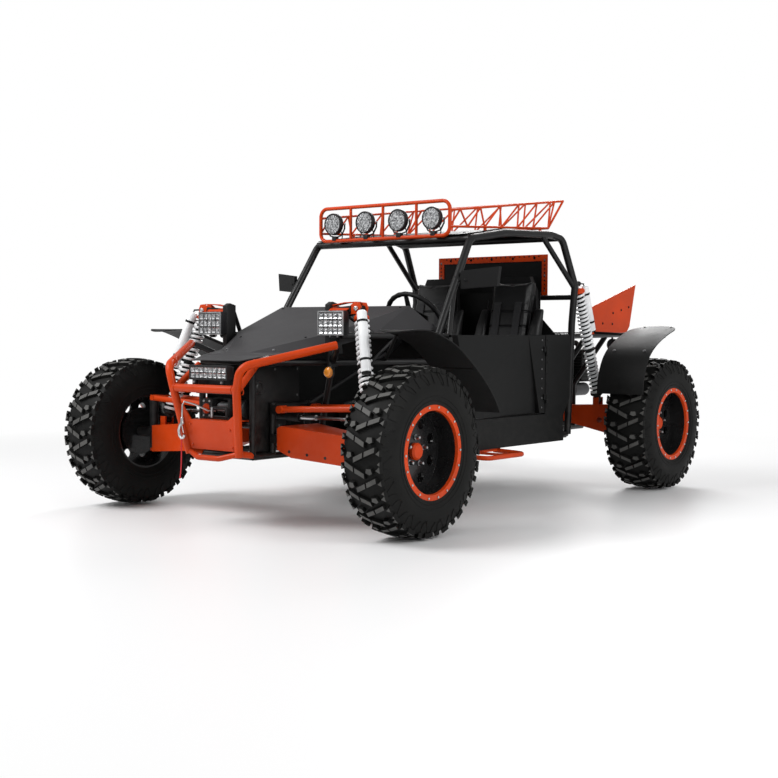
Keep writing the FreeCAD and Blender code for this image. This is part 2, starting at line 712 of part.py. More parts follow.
def hood():
    # A folded sheet: one sloping top facet that narrows to the nose, side facets and a nose panel.
    lower_front = (front_axle + 183.0, 205.0, 790.0)
    lower_mid = (front_axle - 60.0, 330.0, 812.0)
    lower_side = (front_axle - 300.0, 444.0, rail_height)
    lower_rear = (middle + 470.0, 520.0, 916.0)
    top_rear = (middle + 588.0, 430.0, hood_height(middle + 588.0))
    top_mid = (front_axle - 182.0, 325.0, hood_height(front_axle - 182.0))
    top_front = (front_axle + 153.0, 75.0, hood_height(front_axle + 153.0))
    nose = (front_axle + 298.0, 150.0, 768.0)
    down = vec(0, 0, -sheet)

    def left(*corners):
        return [vec(*c) for c in corners]

    def right(*corners):
        return [vec(c[0], -c[1], c[2]) for c in corners]

    pieces = [
        prism(left(top_rear, top_mid, top_front) + right(top_front, top_mid, top_rear), down),
        prism(left(top_front, lower_front) + right(lower_front, top_front), down),
        prism(left(lower_front, nose) + right(nose, lower_front), down),
    ]
    facets = [
        (top_front, lower_front, lower_mid), (top_front, lower_mid, top_mid),
        (top_mid, lower_mid, lower_side), (top_mid, lower_side, top_rear),
        (top_rear, lower_side, lower_rear),
    ]
    for turn, side in ((left, -1.0), (right, 1.0)):
        for facet in facets:
            pieces.append(prism(turn(*facet), vec(0, side * sheet, 0)))
    return fuse(pieces)


def cowl():
    # Dashboard: top deck behind the hood and an upright dash face.
    rear_x = middle + 588.0 - seat_gap
    deck = prism([
        vec(rear_x, -415.0, 1033.0), vec(rear_x, 415.0, 1033.0),
        vec(middle + 470.0, 455.0, 985.0), vec(middle + 470.0, -455.0, 985.0),
    ], vec(0, 0, -sheet))
    face = box(vec(middle + 462.0, -455.0, 760.0), vec(middle + 470.0, 455.0, 985.0))
    centre, back = steering_frame()
    return fuse([deck, face]).cut(rod(centre - back * 300.0, centre, 23.0))


def roof_panel():
    profile = [
        (middle + 215.0, roof_front_height + cage_tube),
        (middle - 117.0, roof_height - 17.0 + cage_tube),
        (middle - 560.0, roof_height + cage_tube),
        (middle - 650.0, roof_height - 15.0 + cage_tube),
    ]
    pieces = []
    for (x1, z1), (x2, z2) in zip(profile, profile[1:]):
        pieces.append(prism([
            vec(x1, -500.0, z1), vec(x2, -500.0, z2),
            vec(x2, -500.0, z2 + sheet), vec(x1, -500.0, z1 + sheet),
        ], vec(0, 1000.0, 0)))
    return fuse(pieces)


def firewall():
    # The wall behind the seats, and the upper panel behind the drilled frame.
    outline = [(500.0, sill_bottom), (500.0, 900.0), (400.0, 1000.0), (400.0, 1140.0)]
    outline += [(-y, z) for y, z in reversed(outline)]
    lower = prism([vec(middle - 700.0, y, z) for y, z in outline], vec(sheet, 0, 0))
    upper = box(vec(middle - 794.0 - seat_gap - sheet, -380.0, 1125.0 + seat_gap),
                vec(middle - 794.0 - seat_gap, 380.0, 1352.0))
    return Part.makeCompound([lower, upper])


def hinge_heights():
    return (sill_top + 60.0, belt_height - 110.0)


def hinge_axis():
    return middle + door_rear - door_gap / 2, body_half_width + hinge_radius + 2.0


def hinge_barrel(low, high, tab_x):
    # One barrel about the hinge axis with the tab that fixes it to its panel.
    x, y = hinge_axis()
    barrel = rod(vec(x, y, low), vec(x, y, high), hinge_radius)
    tab = box(vec(min(x, middle + tab_x), body_half_width - 4.0, low),
              vec(max(x, middle + tab_x), y, high))
    near = box(vec(x - 60.0, body_half_width + seat_gap, low), vec(x + 60.0, y, high))
    foot = box(vec(min(x, middle + tab_x), body_half_width - 4.0, low),
               vec(max(x, middle + tab_x), body_half_width + 2.0, high))
    side = 1.0 if middle + tab_x > x else -1.0
    clear = box(vec(x - door_gap / 2 + side * door_gap / 2 - 30.0 + side * 30.0, 0, low),
                vec(x + door_gap / 2 + side * door_gap / 2 + 30.0 + side * 30.0, y, high))
    return fuse([barrel, tab.common(near), foot.common(clear)])


def door():
    # Sheet panel with one flat facet in front of its crease and two folded ones behind it.
    low = sill_top + door_gap
    inner = body_half_width - door_thickness
    outline = [(door_front, belt_height), (door_front - 120.0, low)]
    outline += [(door_rear, low), (door_rear, belt_height)]
    panel = prism([vec(middle + x, inner, z) for x, z in outline], vec(0, door_thickness, 0))
    region = [(-137.0, belt_height), (-167.0, belt_height), (-284.0, low), (94.0, low), (217.0, 662.0)]
    folds = []
    for along, down in ((0.0270, 0.0421), (0.0225, 0.0685)):
        # Each fold is a plane that starts at the crease's bend and falls away to the rear and down.
        base = []
        for x, z in region:
            depth = along * (crease_bend[0] - x) + down * (crease_bend[1] - z)
            base.append(vec(middle + x, body_half_width - depth, z))
        folds.append(prism(base, vec(0, 60.0, 0)))
    barrels = [hinge_barrel(z + 20.0 + running_gap, z + 50.0, door_rear + 20.0) for z in hinge_heights()]
    return fuse([panel.cut(folds)] + barrels)


def tongue(tip, end, low_y, high_y):
    # The plan outline of a fender: square at its end and rounded at its tip.
    radius = (high_y - low_y) / 2
    centre = tip + math.copysign(radius, end - tip)
    strip = box(vec(min(centre, end), low_y, 0), vec(max(centre, end), high_y, roof_height))
    cap = Part.makeCylinder(radius, roof_height, vec(centre, (low_y + high_y) / 2, 0))
    return strip.fuse(cap)


def front_fender():
    x = front_axle
    profile = [
        (x - 30.0, 903.0), (x - 85.0, 913.0), (x - 150.0, 910.0), (x - 243.0, 886.0), (x - 354.0, 843.0),
        (x - 455.0, 780.0), (x - 551.0, 708.0), (x - 644.0, 622.0), (x - 721.0, 520.0),
    ]
    return curved_sheet(profile, 640.0, 902.0, 5.0).common(tongue(x - 30.0, x - 900.0, 640.0, 902.0))


def rear_fender():
    x = rear_axle
    profile = [
        (x - 140.0, 944.0), (x - 10.0, 918.0), (x + 150.0, 862.0), (x + 292.0, 768.0),
        (x + 352.0, 650.0), (x + 362.0, 560.0),
    ]
    return curved_sheet(profile, 700.0, 990.0, 5.0).common(tongue(x - 140.0, x + 500.0, 700.0, 990.0))


def fenders(frame):
    # Four curved sheets on bent stays that reach out from the frame.
    x = front_axle
    stay_z = rail_mid - frame_tube - 8.0
    stay_x = x - 551.0 - (708.0 - stay_z - 8.0) * 93.0 / 86.0
    front_stay = pipe([
        vec(stay_x - 60.0, 440.0, stay_z), vec(stay_x, 640.0, stay_z), vec(stay_x, 880.0, stay_z),
    ], 8.0, 40.0)
    strut = rod(vec(x - 412.0, 437.0, 765.0), vec(x - 212.0, 662.0, 892.0), 8.0)
    rear_stay = pipe([
        vec(rear_axle + 40.0, rear_rail_y, rail_height + frame_tube + 8.0),
        vec(rear_axle + 40.0, 960.0, rail_height + frame_tube + 8.0 - 22.0),
    ], 8.0, 40.0)
    rear = fuse([rear_fender(), rear_stay])
    front = fuse([front_fender(), front_stay, strut])
    return Part.makeCompound([front, mirrored(front), rear, mirrored(rear)]).cut(frame)


# Front end

def bumper_half():
    x = front_end - bumper_tube
    return pipe([
        vec(x - 67.0, 162.0, 330.0), vec(x - 5.0, 207.0, 638.0), vec(x + 1.3, 235.0, 741.0),
        vec(front_axle + 2.0, 480.0, 841.0),
    ], bumper_tube, 70.0)


def front_bumper(frame):
    # Round tube bull bar with a cross bar, two braces and the low tow loop.
    x = front_end - bumper_tube
    half = bumper_half()
    nose = front_axle + nose_reach
    cross = rod(vec(x - 5.0, -207.0, 638.0), vec(x - 5.0, 207.0, 638.0), bumper_tube)
    brace_end = vec(nose, nose_half_width + 20.0, rail_mid - 12.0)
    brace = rod(vec(x - 5.0, 207.0, 628.0), brace_end, bumper_tube - 3.0)
    low_brace = rod(vec(x - 67.0, 162.0, 342.0), vec(nose, nose_half_width, frame_low + 8.0), 15.0)
    loop = pipe([
        vec(x - 67.0, -162.0, 342.0), vec(x - 30.0, -70.0, 318.0),
        vec(x - 30.0, 70.0, 318.0), vec(x - 67.0, 162.0, 342.0),
    ], 13.0, 60.0)
    pieces = [half, cross, brace, low_brace, loop]
    pieces += [mirrored(piece) for piece in (half, brace, low_brace)]
    return fuse(pieces + bumper_plate()).cut(frame)


def plate_x(z):
    return front_end - bumper_tube - 5.0 - (638.0 - z) * 0.2


def bumper_plate():
    # Flat plate between the uprights, bent back at its top into the winch tray.
    outline = [(-165.0, 352.0), (-192.0, 560.0), (-160.0, 560.0), (-120.0, winch_tray_z),
               (120.0, winch_tray_z), (165.0, 520.0), (188.0, 500.0), (160.0, 352.0)]
    plate = prism([vec(plate_x(z), y, z) for y, z in outline], vec(-6.0, 0, 0))
    tray = box(vec(front_axle + nose_reach, -130.0, winch_tray_z - 6.0),
               vec(plate_x(winch_tray_z) - 3.0, 130.0, winch_tray_z))
    return [plate, tray]


def winch():
    # Winch with its drum between two end housings, and the hook that hangs at the front.
    x = front_end - 150.0
    z = winch_tray_z + seat_gap
    motor = box(vec(x - 90.0, 40.0, z), vec(x + 20.0, 125.0, z + 95.0))
    gear = box(vec(x - 90.0, -125.0, z), vec(x + 20.0, -60.0, z + 95.0))
    drum = rod(vec(x - 35.0, -70.0, z + 48.0), vec(x - 35.0, 50.0, z + 48.0), 30.0)
    fairlead = box(vec(x + 20.0, -125.0, z), vec(x + 34.0, 60.0, z + 60.0))
    return fuse([motor, gear, drum, fairlead, hook()])


def hook():
    x = hook_x
    shank = pipe([
        vec(front_end - 120.0, -100.0, winch_tray_z + 36.0), vec(plate_x(575.0) + 6.0, -150.0, 575.0),
        vec(x, -156.0, 470.0),
    ], 6.0, 20.0)
    bow = pipe([
        vec(x, -156.0, 474.0), vec(x, -178.0, 440.0), vec(x, -160.0, 398.0), vec(x, -138.0, 420.0),
    ], 8.0, 16.0)
    return fuse([shank, bow])


def led_lamps(bumper):
    # Light bar on the cross bar and two square lamps on the shock towers.
    x = front_end - bumper_tube
    bar = box(vec(x - 70.0, -125.0, 676.0), vec(x - 26.0, 125.0, 746.0))
    feet = [box(vec(x - 40.0, y - 12.0, 640.0), vec(x - 16.0, y + 12.0, 677.0)) for y in (-90.0, 90.0)]
    bar = fuse([bar] + feet).cut(bumper)
    pod_x = front_shock_top.x + 40.0 + seat_gap
    pod = box(vec(pod_x, 320.0, 883.0), vec(pod_x + 50.0, 480.0, 1001.0))
    return Part.makeCompound([bar, pod, mirrored(pod)])


def signal_lamps(frame):
    # Round turn lamps at the nose and tail lamps on the rear cross tube.
    x = front_shock_top.x + 40.0 + seat_gap
    lens = rod(vec(x, 362.0, 712.0), vec(x + 30.0, 362.0, 712.0), 28.0)
    arm = box(vec(x, 330.0, 704.0), vec(x + 6.0, 376.0, rail_mid))
    front = fuse([lens, arm])
    tail_z = rail_height - 2.0 - frame_tube - 34.0
    tail = rod(vec(rear_end + 78.0, 380.0, tail_z), vec(rear_end + 48.0, 380.0, tail_z), 40.0)
    tail_arm = box(vec(rear_end + 74.0, 374.0, tail_z), vec(rear_end + 80.0, 386.0, rail_height + 14.0))
    rear = fuse([tail, tail_arm])
    return Part.makeCompound([front, mirrored(front), rear, mirrored(rear)]).cut(frame)


# Roof rack

def roof_rack(roof, cage):
    x = middle + 262.0
    low = 1404.0
    high = 1583.0
    frame = [
        pipe([
            vec(x, 0, low), vec(x, 440.0, low), vec(x, 440.0, high), vec(x, 0, high),
        ], rack_tube, 45.0),
    ]
    frame.append(mirrored(frame[0]))
    for y in (-224.0, 0.0, 224.0):
        frame.append(rod(vec(x, y, low), vec(x, y, high), 8.0))
    side = truss(
        vec(x, 440.0, 1449.0), rack_rear_low, vec(x, 440.0, 1533.0), rack_rear_high, rack_bays)
    rear = truss(
        vec(rack_rear_low.x, -rack_rear_low.y, rack_rear_low.z), rack_rear_low,
        vec(rack_rear_high.x, -rack_rear_high.y, rack_rear_high.z), rack_rear_high, rack_bays)
    feet = []
    for foot_x in (middle - 40.0, middle - 540.0):
        share = (x - foot_x) / (x - rack_rear_low.x)
        foot_y = 440.0 + share * (rack_rear_low.y - 440.0)
        foot = vec(foot_x, foot_y - 6.0, 1449.0 + share * 46.0)
        feet.append(rod(foot - vec(0, 0, 18.0 - share), foot, 9.0))
    tabs = []
    for y in (-330.0, 330.0):
        tabs.append(box(vec(middle + 193.0, y - 14.0, low - 5.0), vec(x, y + 14.0, low + 1.0)))
    rack = fuse(frame + [side, mirrored(side), rear] + feet + [mirrored(f) for f in feet] + tabs)
    return rack.cut(roof).cut(cage)


def truss(low_start, low_end, high_start, high_end, bays):
    # Two rails joined by a zigzag of thinner rods.
    rails = [rod(low_start, low_end, truss_tube), rod(high_start, high_end, truss_tube),
             rod(low_end, high_end, truss_tube)]
    for i in range(bays):
        low_a = low_start + (low_end - low_start) * (i / bays)
        low_b = low_start + (low_end - low_start) * ((i + 1) / bays)
        top = high_start + (high_end - high_start) * ((i + 0.5) / bays)
        rails.append(rod(low_a, top, truss_tube - 1.5))
        rails.append(rod(top, low_b, truss_tube - 1.5))
    return fuse(rails)


def roof_lamps(rack):
    x = middle + 262.0
    lamps = []
    for y in (-336.0, -112.0, 112.0, 336.0):
        lens = rod(vec(x - 34.0, y, 1495.0), vec(x + 26.0, y, 1495.0), 60.0)
        foot = box(vec(x - 12.0, y - 14.0, 1404.0), vec(x + 12.0, y + 14.0, 1440.0))
        lamps.append(fuse([lens, foot]))
    return Part.makeCompound(lamps).cut(rack)


# Cabin fittings and the rest

def seat():
    # High-backed bucket seat: a side profile cut to the seat's outline from the front.
    front = middle + 60.0
    seat_base = frame_low + cross_tube + seat_gap
    base = prism([
        vec(front, 0, 470.0), vec(front - 30.0, 0, 372.0), vec(middle - 560.0, 0, seat_base),
        vec(middle - 692.0, 0, 1190.0), vec(middle - 672.0, 0, 1238.0), vec(middle - 618.0, 0, 1232.0),
        vec(middle - 580.0, 0, 1120.0), vec(middle - 440.0, 0, 480.0), vec(middle - 180.0, 0, 430.0),
    ], vec(0, seat_width, 0))
    base.translate(vec(0, seat_centre - seat_width / 2, 0))
    half = seat_width / 2
    front_view = [
        (half, seat_base), (half, 960.0), (half - 25.0, 1060.0), (half - 90.0, 1120.0),
        (half - 105.0, 1205.0), (half - 140.0, 1240.0),
    ]
    front_view += [(-y, z) for y, z in reversed(front_view)]
    outline = prism([vec(middle - 800.0, seat_centre + y, z) for y, z in front_view], vec(900.0, 0, 0))
    plinth = box(vec(middle - 500.0, seat_centre - 160.0, seat_base),
                 vec(middle - 60.0, seat_centre + 160.0, 420.0))
    return fuse([base.common(outline), plinth])


def mirrors(cage):
    # Mirror heads that sweep back outward, each on a stem from its pillar.
    outline = []
    for y, z in ((566.0, 1214.0), (752.0, 1234.0), (741.0, 1136.0), (566.0, 1122.0)):
        outline.append(vec(middle + 318.0 - mirror_sweep * (y - 566.0), y, z))
    head = prism(outline, vec(24.0, 0, 0))
    stem = rod(vec(middle + 345.0, 530.0, 1180.0), vec(middle + 316.0, 590.0, 1158.0), 9.0)
    return both_sides(fuse([head, stem])).cut(cage)


def drilled_frame():
    # Flat plate frame behind the seats, drilled along its top bar, on the cage's cross bar.
    x = middle - 794.0
    outer = box(vec(x, -390.0, 1125.0 + seat_gap), vec(x + 5.0, 390.0, 1362.0))
    inner = box(vec(x - 1.0, -352.0, 1125.0), vec(x + 6.0, 352.0, 1324.0))
    holes = []
    for y in (-300.0, -150.0, 0, 150.0, 300.0):
        holes.append(rod(vec(x - 1.0, y, 1343.0), vec(x + 6.0, y, 1343.0), 9.0))
    return outer.cut([inner] + holes)


def engine():
    # Engine and gearbox as one block in the cradle behind the cabin.
    block = box(vec(rear_axle + 120.0, -engine_half_width, frame_low + frame_tube + 30.0),
                vec(hoop_x - 60.0, engine_half_width, 860.0))
    gearbox = box(vec(rear_axle - 150.0, -engine_half_width, frame_low + frame_tube + 2.0),
                  vec(rear_axle + 121.0, engine_half_width, 640.0))
    feet = box(vec(rear_axle - 240.0, -60.0, frame_low + frame_tube + seat_gap),
               vec(rear_axle - 140.0, 60.0, 420.0))
    return fuse([block, gearbox, feet])


def rear_plates():
    # Two upright side plates that rise to the rear, on the outer side of the rear rails.
    inner = rear_rail_y + frame_tube + seat_gap
    outline = [
        (rear_axle + 106.0, 898.0), (rear_axle + 106.0, 1054.0), (rear_end + 1.0, 1213.0),
        (rear_end + 76.0, 950.0), (rear_end + 110.0, 915.0), (rear_end + 180.0, 908.0),
    ]
    plate = prism([vec(x, inner, z) for x, z in outline], vec(0, 5.0, 0))
    return both_sides(plate)


def side_steps():
    # A flat loop of tube under each sill.
    z = sill_bottom - 14.0 - seat_gap
    loop = pipe([
        vec(middle + 440.0, 610.0, z), vec(middle + 440.0, 800.0, z - 8.0),
        vec(middle + 90.0, 800.0, z - 8.0), vec(middle + 90.0, 610.0, z),
    ], 12.0, 45.0)
    post = box(vec(middle + 240.0, 600.0, z - 6.0), vec(middle + 290.0, 790.0, z + 2.0))
    pad = box(vec(middle + 76.0, 575.0, z - 2.0), vec(middle + 454.0, 640.0, sill_bottom - seat_gap))
    return both_sides(fuse([loop, post, pad]))


def hook_strap():
    # The thin pull strap that hangs from the hook.
    start = vec(hook_x, -160.0, 402.0)
    points = [
        start, start + vec(2.0, 2.0, -50.0), start + vec(-2.0, -4.0, -100.0),
        start + vec(-8.0, -12.0, -148.0), start + vec(-14.0, -26.0, -190.0),
    ]
    return pipe(points, 3.0, 60.0)


def clear_of(shape, others):
    # Trims a piece where it would run into pieces made before it.
    for other in others:
        if shape.BoundBox.intersect(other.BoundBox):
            shape = shape.cut(other)
    return shape


def chassis_pieces():
    # In the order in which each piece is trimmed by those before it.
    frame = chassis_frame()
    cage = roll_cage(frame)
    roof = roof_panel()
    made = {
        "chassis_frame": frame, "roll_cage": cage, "roof_panel": roof,
        "suspension_arms": suspension_arms().cut(frame), "rear_hubs": both_sides(rear_hub()),
        "shocks": shocks(),
        "engine": engine(), "steering_gear": steering_gear(),
        "front_bumper": front_bumper(frame), "winch": winch(), "shock_towers": shock_towers(frame),
    }
    later = {
        "roof_rack": roof_rack(roof, cage), "side_pods": side_pods(cage), "floor_pan": floor_pan(),
        "seats": both_sides(seat()), "firewall": firewall(), "hood": hood(), "cowl": cowl(),
        "fenders": fenders(frame), "rear_plates": rear_plates(), "side_steps": side_steps(),
        "led_lamps": led_lamps(made["front_bumper"]), "signal_lamps": signal_lamps(frame),
        "mirrors": mirrors(cage), "drilled_frame": drilled_frame(),
    }
    for name, shape in later.items():
        made[name] = clear_of(shape, list(made.values()))
    made["roof_lamps"] = roof_lamps(made["roof_rack"])
    made["hook_strap"] = hook_strap().cut(made["winch"])
    return made


def build():
    wheels()
    left_knuckle = knuckle()
    left_door = door()
    moving = {
        "knuckle_left": left_knuckle, "knuckle_right": mirrored(left_knuckle), "tie_rods": steering_rack(),
        "steering_wheel": steering_wheel(), "door_left": left_door, "door_right": mirrored(left_door),
    }
    for name, shape in moving.items():
        export(name, shape)
    for name, shape in chassis_pieces().items():
        export(name, shape)


os.makedirs("parts", exist_ok=True)
build()
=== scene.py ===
import json
import math

import bmesh
import bpy
from mathutils import Matrix, Vector


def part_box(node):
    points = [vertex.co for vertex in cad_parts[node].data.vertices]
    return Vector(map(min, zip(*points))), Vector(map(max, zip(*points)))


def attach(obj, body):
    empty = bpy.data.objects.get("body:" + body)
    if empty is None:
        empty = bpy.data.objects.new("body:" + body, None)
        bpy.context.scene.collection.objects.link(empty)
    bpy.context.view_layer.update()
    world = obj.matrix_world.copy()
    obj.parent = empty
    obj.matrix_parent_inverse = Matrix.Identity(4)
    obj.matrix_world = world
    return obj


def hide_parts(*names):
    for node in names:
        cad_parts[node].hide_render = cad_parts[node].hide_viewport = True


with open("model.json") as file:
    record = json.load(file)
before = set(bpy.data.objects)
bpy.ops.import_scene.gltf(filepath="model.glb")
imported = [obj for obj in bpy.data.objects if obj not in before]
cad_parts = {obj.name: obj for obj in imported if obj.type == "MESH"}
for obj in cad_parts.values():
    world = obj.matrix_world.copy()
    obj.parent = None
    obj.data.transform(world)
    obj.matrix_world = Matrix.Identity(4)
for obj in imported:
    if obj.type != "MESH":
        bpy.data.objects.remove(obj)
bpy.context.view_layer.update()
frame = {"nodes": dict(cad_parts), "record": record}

nodes = frame["nodes"]
X, Y, Z = Vector((1, 0, 0)), Vector((0, 1, 0)), Vector((0, 0, 1))
# Most lengths below are in millimetres; tyres, seats and the studio are in metres, as Blender's are.
MM = 0.001
METRES = 1.0

# Colours, as they look under plain white light, except the hood grey and the worn lug rubber, which are paler with
# painted sheen and highlight
ORANGE = (0.5, 0.044, 0.004)
BLACK_FRAME = (0.0055, 0.0055, 0.0058)
BLACK_PANEL = (0.0075, 0.0077, 0.0078)
# The hood's black paint made paler than the other panels: painted sheen where its top catches the light from above.
HOOD_SHEEN_GREY = (0.03, 0.029, 0.031)
BLACK_FENDER = (0.0075, 0.0075, 0.0075)
BLACK_WINCH = (0.012, 0.012, 0.013)
BLACK_LAMP = (0.01, 0.01, 0.011)
BLACK_CAST = (0.016, 0.016, 0.017)
BLACK_RIM = (0.008, 0.008, 0.0085)
BLACK_WEBBING = (0.02, 0.02, 0.022)
RUBBER = (0.0055, 0.0055, 0.0052)
# Paler lug tops: partly real wear, partly painted highlight on the lugs.
WORN_AND_SHEEN_RUBBER = (0.055, 0.054, 0.051)
WHITE_PAINT = (0.78, 0.79, 0.8)
BARE_METAL = (0.56, 0.57, 0.58)
LAMP_ALLOY = (0.34, 0.345, 0.35)
DULL_METAL = (0.2, 0.2, 0.205)
CAST_GREY = (0.2, 0.205, 0.21)
LEATHER = (0.0065, 0.0065, 0.007)
STRAP_RED = (0.55, 0.02, 0.03)
AMBER = (0.85, 0.3, 0.03)
TAIL_RED = (0.55, 0.02, 0.02)
DUST = (0.16, 0.145, 0.125)
WHITE = (1.0, 1.0, 1.0, 1.0)


# Materials

class Nodes:
    """Short forms for building one node tree."""

    def __init__(self, tree):
        self.tree = tree

    def wire(self, node, inputs):
        # Each input is a value or another node's output.
        for key, value in inputs.items():
            if isinstance(value, bpy.types.NodeSocket):
                self.tree.links.new(value, node.inputs[key])
            else:
                node.inputs[key].default_value = value

    def node(self, kind, output, inputs=None, **settings):
        node = self.tree.nodes.new("ShaderNode" + kind)
        for key, value in settings.items():
            setattr(node, key, value)
        self.wire(node, inputs or {})
        return node.outputs[output]

    def texture(self, kind, output, inputs, **settings):
        place = self.node("TexCoord", "Object")
        return self.node("Tex" + kind, output, {**inputs, "Vector": place}, **settings)

    def noise(self, scale, detail=4.0, roughness=0.55):
        return self.texture("Noise", "Fac", {"Scale": scale, "Detail": detail, "Roughness": roughness})

    def spread(self, source, low, high, out_low=0.0, out_high=1.0):
        # Maps a texture's range to the range that an input needs.
        return self.node("MapRange", "Result", {
            "Value": source, "From Min": low, "From Max": high, "To Min": out_low, "To Max": out_high})

    def mix(self, factor, first, second):
        first, second = ((*tone, 1.0) if isinstance(tone, tuple) else tone for tone in (first, second))
        return self.node("Mix", "Result", {"Factor": factor, "A": first, "B": second}, data_type="RGBA")

    def product(self, first, second):
        return self.node("Math", "Value", {0: first, 1: second}, operation="MULTIPLY")


class Look(Nodes):
    """One material on a Principled shader, with the shader's constants given by name."""

    def __init__(self, name, constants):
        self.material = bpy.data.materials.new(name)
        self.material.use_nodes = True
        super().__init__(self.material.node_tree)
        self.shader = self.tree.nodes["Principled BSDF"]
        self.wire(self.shader, constants)

    def cloudy(self, cloud, colour, dark, pale, rough_low, rough_high):
        # A cloudy colour and gloss over the whole surface.
        tone = self.mix(self.spread(cloud, 0.35, 0.7), shade(colour, dark), shade(colour, pale))
        rough = self.spread(cloud, 0.3, 0.7, rough_low, rough_high)
        self.wire(self.shader, {"Base Color": tone, "Roughness": rough})
        return tone

    def relief(self, height, strength, distance, edge=0.0):
        # A fine relief, with softened edges where an edge radius is given.
        inputs = {"Height": height, "Strength": strength, "Distance": distance}
        if edge:
            inputs["Normal"] = self.node("Bevel", "Normal", {"Radius": edge})
        self.wire(self.shader, {"Normal": self.node("Bump", "Normal", inputs)})
        return self.material


def shade(colour, factor):
    return tuple(min(1.0, channel * factor) for channel in colour)


def coated(name, colour, roughness, grain, depth, metallic=0.0, edge=0.0, dust=0.25, coat=0.0, gloss=0.3):
    # Paint, powder coat or moulded plastic, with a little dust low down on the vehicle.
    look = Look(name, {"Metallic": metallic, "Coat Weight": coat, "Specular IOR Level": gloss})
    tone = look.cloudy(look.noise(3.5, 5.0), colour, 0.86, 1.12, roughness * 0.88, roughness * 1.15)
    height = look.node("SeparateXYZ", "Z", {"Vector": look.node("NewGeometry", "Position")})
    specks = look.spread(look.noise(28.0, 6.0, 0.7), 0.42, 0.72)
    dusty = look.product(look.spread(height, 0.75, 0.15, 0.0, dust), specks)
    look.wire(look.shader, {"Base Color": look.mix(dusty, tone, DUST)})
    return look.relief(look.noise(grain, 3.0, 0.6), 0.35, depth, edge)


def rubber(name, colour, gloss):
    look = Look(name, {"Specular IOR Level": gloss})
    look.cloudy(look.noise(9.0, 6.0, 0.65), colour, 0.7, 1.6, 0.5, 0.68)
    return look.relief(look.noise(240.0, 3.0, 0.6), 0.45, 0.0006)


def metal(name, colour, roughness, grain=160.0):
    look = Look(name, {"Metallic": 1.0})
    look.cloudy(look.noise(14.0, 5.0), colour, 0.8, 1.1, roughness * 0.8, roughness * 1.25)
    return look.relief(look.noise(grain, 4.0, 0.6), 0.25, 0.0005)


def leather():
    look = Look("seat_leather_look", {"Specular IOR Level": 0.3})
    look.cloudy(look.noise(7.0), LEATHER, 0.8, 1.4, 0.42, 0.58)
    cells = look.texture("Voronoi", "Distance", {"Scale": 420.0}, feature="DISTANCE_TO_EDGE")
    return look.relief(cells, 0.4, 0.0007)


def waved(name, colour, dark, pale, waves, depth, constants):
    # Webbing with a fine weave, or clear plastic moulded in flutes.
    look = Look(name, constants)
    height = look.texture("Wave", "Fac", waves)
    look.wire(look.shader, {"Base Color": look.mix(height, shade(colour, dark), shade(colour, pale))})
    return look.relief(height, 0.5, depth)


def woven(name, colour):
    return waved(name, colour, 0.7, 1.15, {"Scale": 260.0, "Distortion": 0.6}, 0.0006, {"Roughness": 0.8})


def fluted(name, colour):
    return waved(name, colour, 0.75, 1.1, {"Scale": 60.0}, 0.0012, {"Roughness": 0.14, "Coat Weight": 0.5})


def bright(name, scale, low, high, dark, pale, rough_low, rough_high, constants):
    # Mirror glass, or a lamp's clear cover over bright reflector cups.
    look = Look(name, constants)
    cloud = look.noise(scale, 3.0)
    look.wire(look.shader, {"Base Color": look.mix(look.spread(cloud, low, high), dark, pale),
                            "Roughness": look.spread(cloud, 0.3, 0.7, rough_low, rough_high)})
    return look.material


looks = {
    "orange": coated("orange_paint_look", ORANGE, 0.36, 260, 0.0005, edge=0.0015, dust=0.1, coat=0.03, gloss=0.15),
    "frame": coated("frame_black_look", BLACK_FRAME, 0.36, 300, 0.0005, edge=0.001),
    "panel": coated("panel_black_look", BLACK_PANEL, 0.44, 420, 0.0007, edge=0.0015, dust=0.06, gloss=0.13),
    # Painted sheen: the hood's top is paler than the other black panels.
    "hood": coated("hood_black_painted_sheen_look", HOOD_SHEEN_GREY, 0.5, 420, 0.0007, edge=0.0015, dust=0.05),
    "fender": coated("fender_black_look", BLACK_FENDER, 0.5, 520, 0.0006, edge=0.002, dust=0.08, gloss=0.15),
    "trim": coated("trim_black_look", BLACK_FRAME, 0.5, 380, 0.0005, edge=0.002, gloss=0.2),
    "winch": coated("winch_black_look", BLACK_WINCH, 0.42, 200, 0.0006, edge=0.002),
    "lamp": coated("lamp_black_look", BLACK_LAMP, 0.35, 320, 0.0003, edge=0.0015),
    "white": coated("spring_white_look", WHITE_PAINT, 0.3, 300, 0.0003, dust=0.15, coat=0.2),
    "cast": coated("cast_black_look", BLACK_CAST, 0.55, 130, 0.0012, metallic=0.4, edge=0.002),
    "rim": coated("rim_black_look", BLACK_RIM, 0.26, 300, 0.0003, edge=0.0015, dust=0.04, coat=0.2),
    "amber": coated("signal_amber_look", AMBER, 0.15, 200, 0.0002, coat=0.5, dust=0.05),
    "rubber": rubber("tyre_rubber_look", RUBBER, 0.12),
    # Lug tops: partly worn rubber, partly painted highlight.
    "lug": rubber("worn_and_sheen_lug_look", WORN_AND_SHEEN_RUBBER, 0.35),
    "metal": metal("bare_steel_look", BARE_METAL, 0.32),
    "engine": metal("engine_grey_look", CAST_GREY, 0.5, 90.0),
    "alloy": metal("lamp_frame_look", LAMP_ALLOY, 0.38),
    "dull": metal("dull_bolt_look", DULL_METAL, 0.42),
    "leather": leather(),
    "strap": woven("strap_red_look", STRAP_RED),
    "webbing": woven("black_webbing_look", BLACK_WEBBING),
    "amber_lens": fluted("amber_lens_look", AMBER),
    "red_lens": fluted("red_lens_look", TAIL_RED),
    "lens": bright("led_lens_look", 90.0, 0.35, 0.65, (0.12, 0.125, 0.13), (0.6, 0.61, 0.62), 0.1, 0.3,
                   {"Metallic": 0.35, "Coat Weight": 0.6}),
    "mirror": bright("mirror_glass_look", 12.0, 0.0, 1.0, (0.62, 0.65, 0.67), (0.78, 0.8, 0.82), 0.03, 0.06,
                     {"Metallic": 1.0}),
}
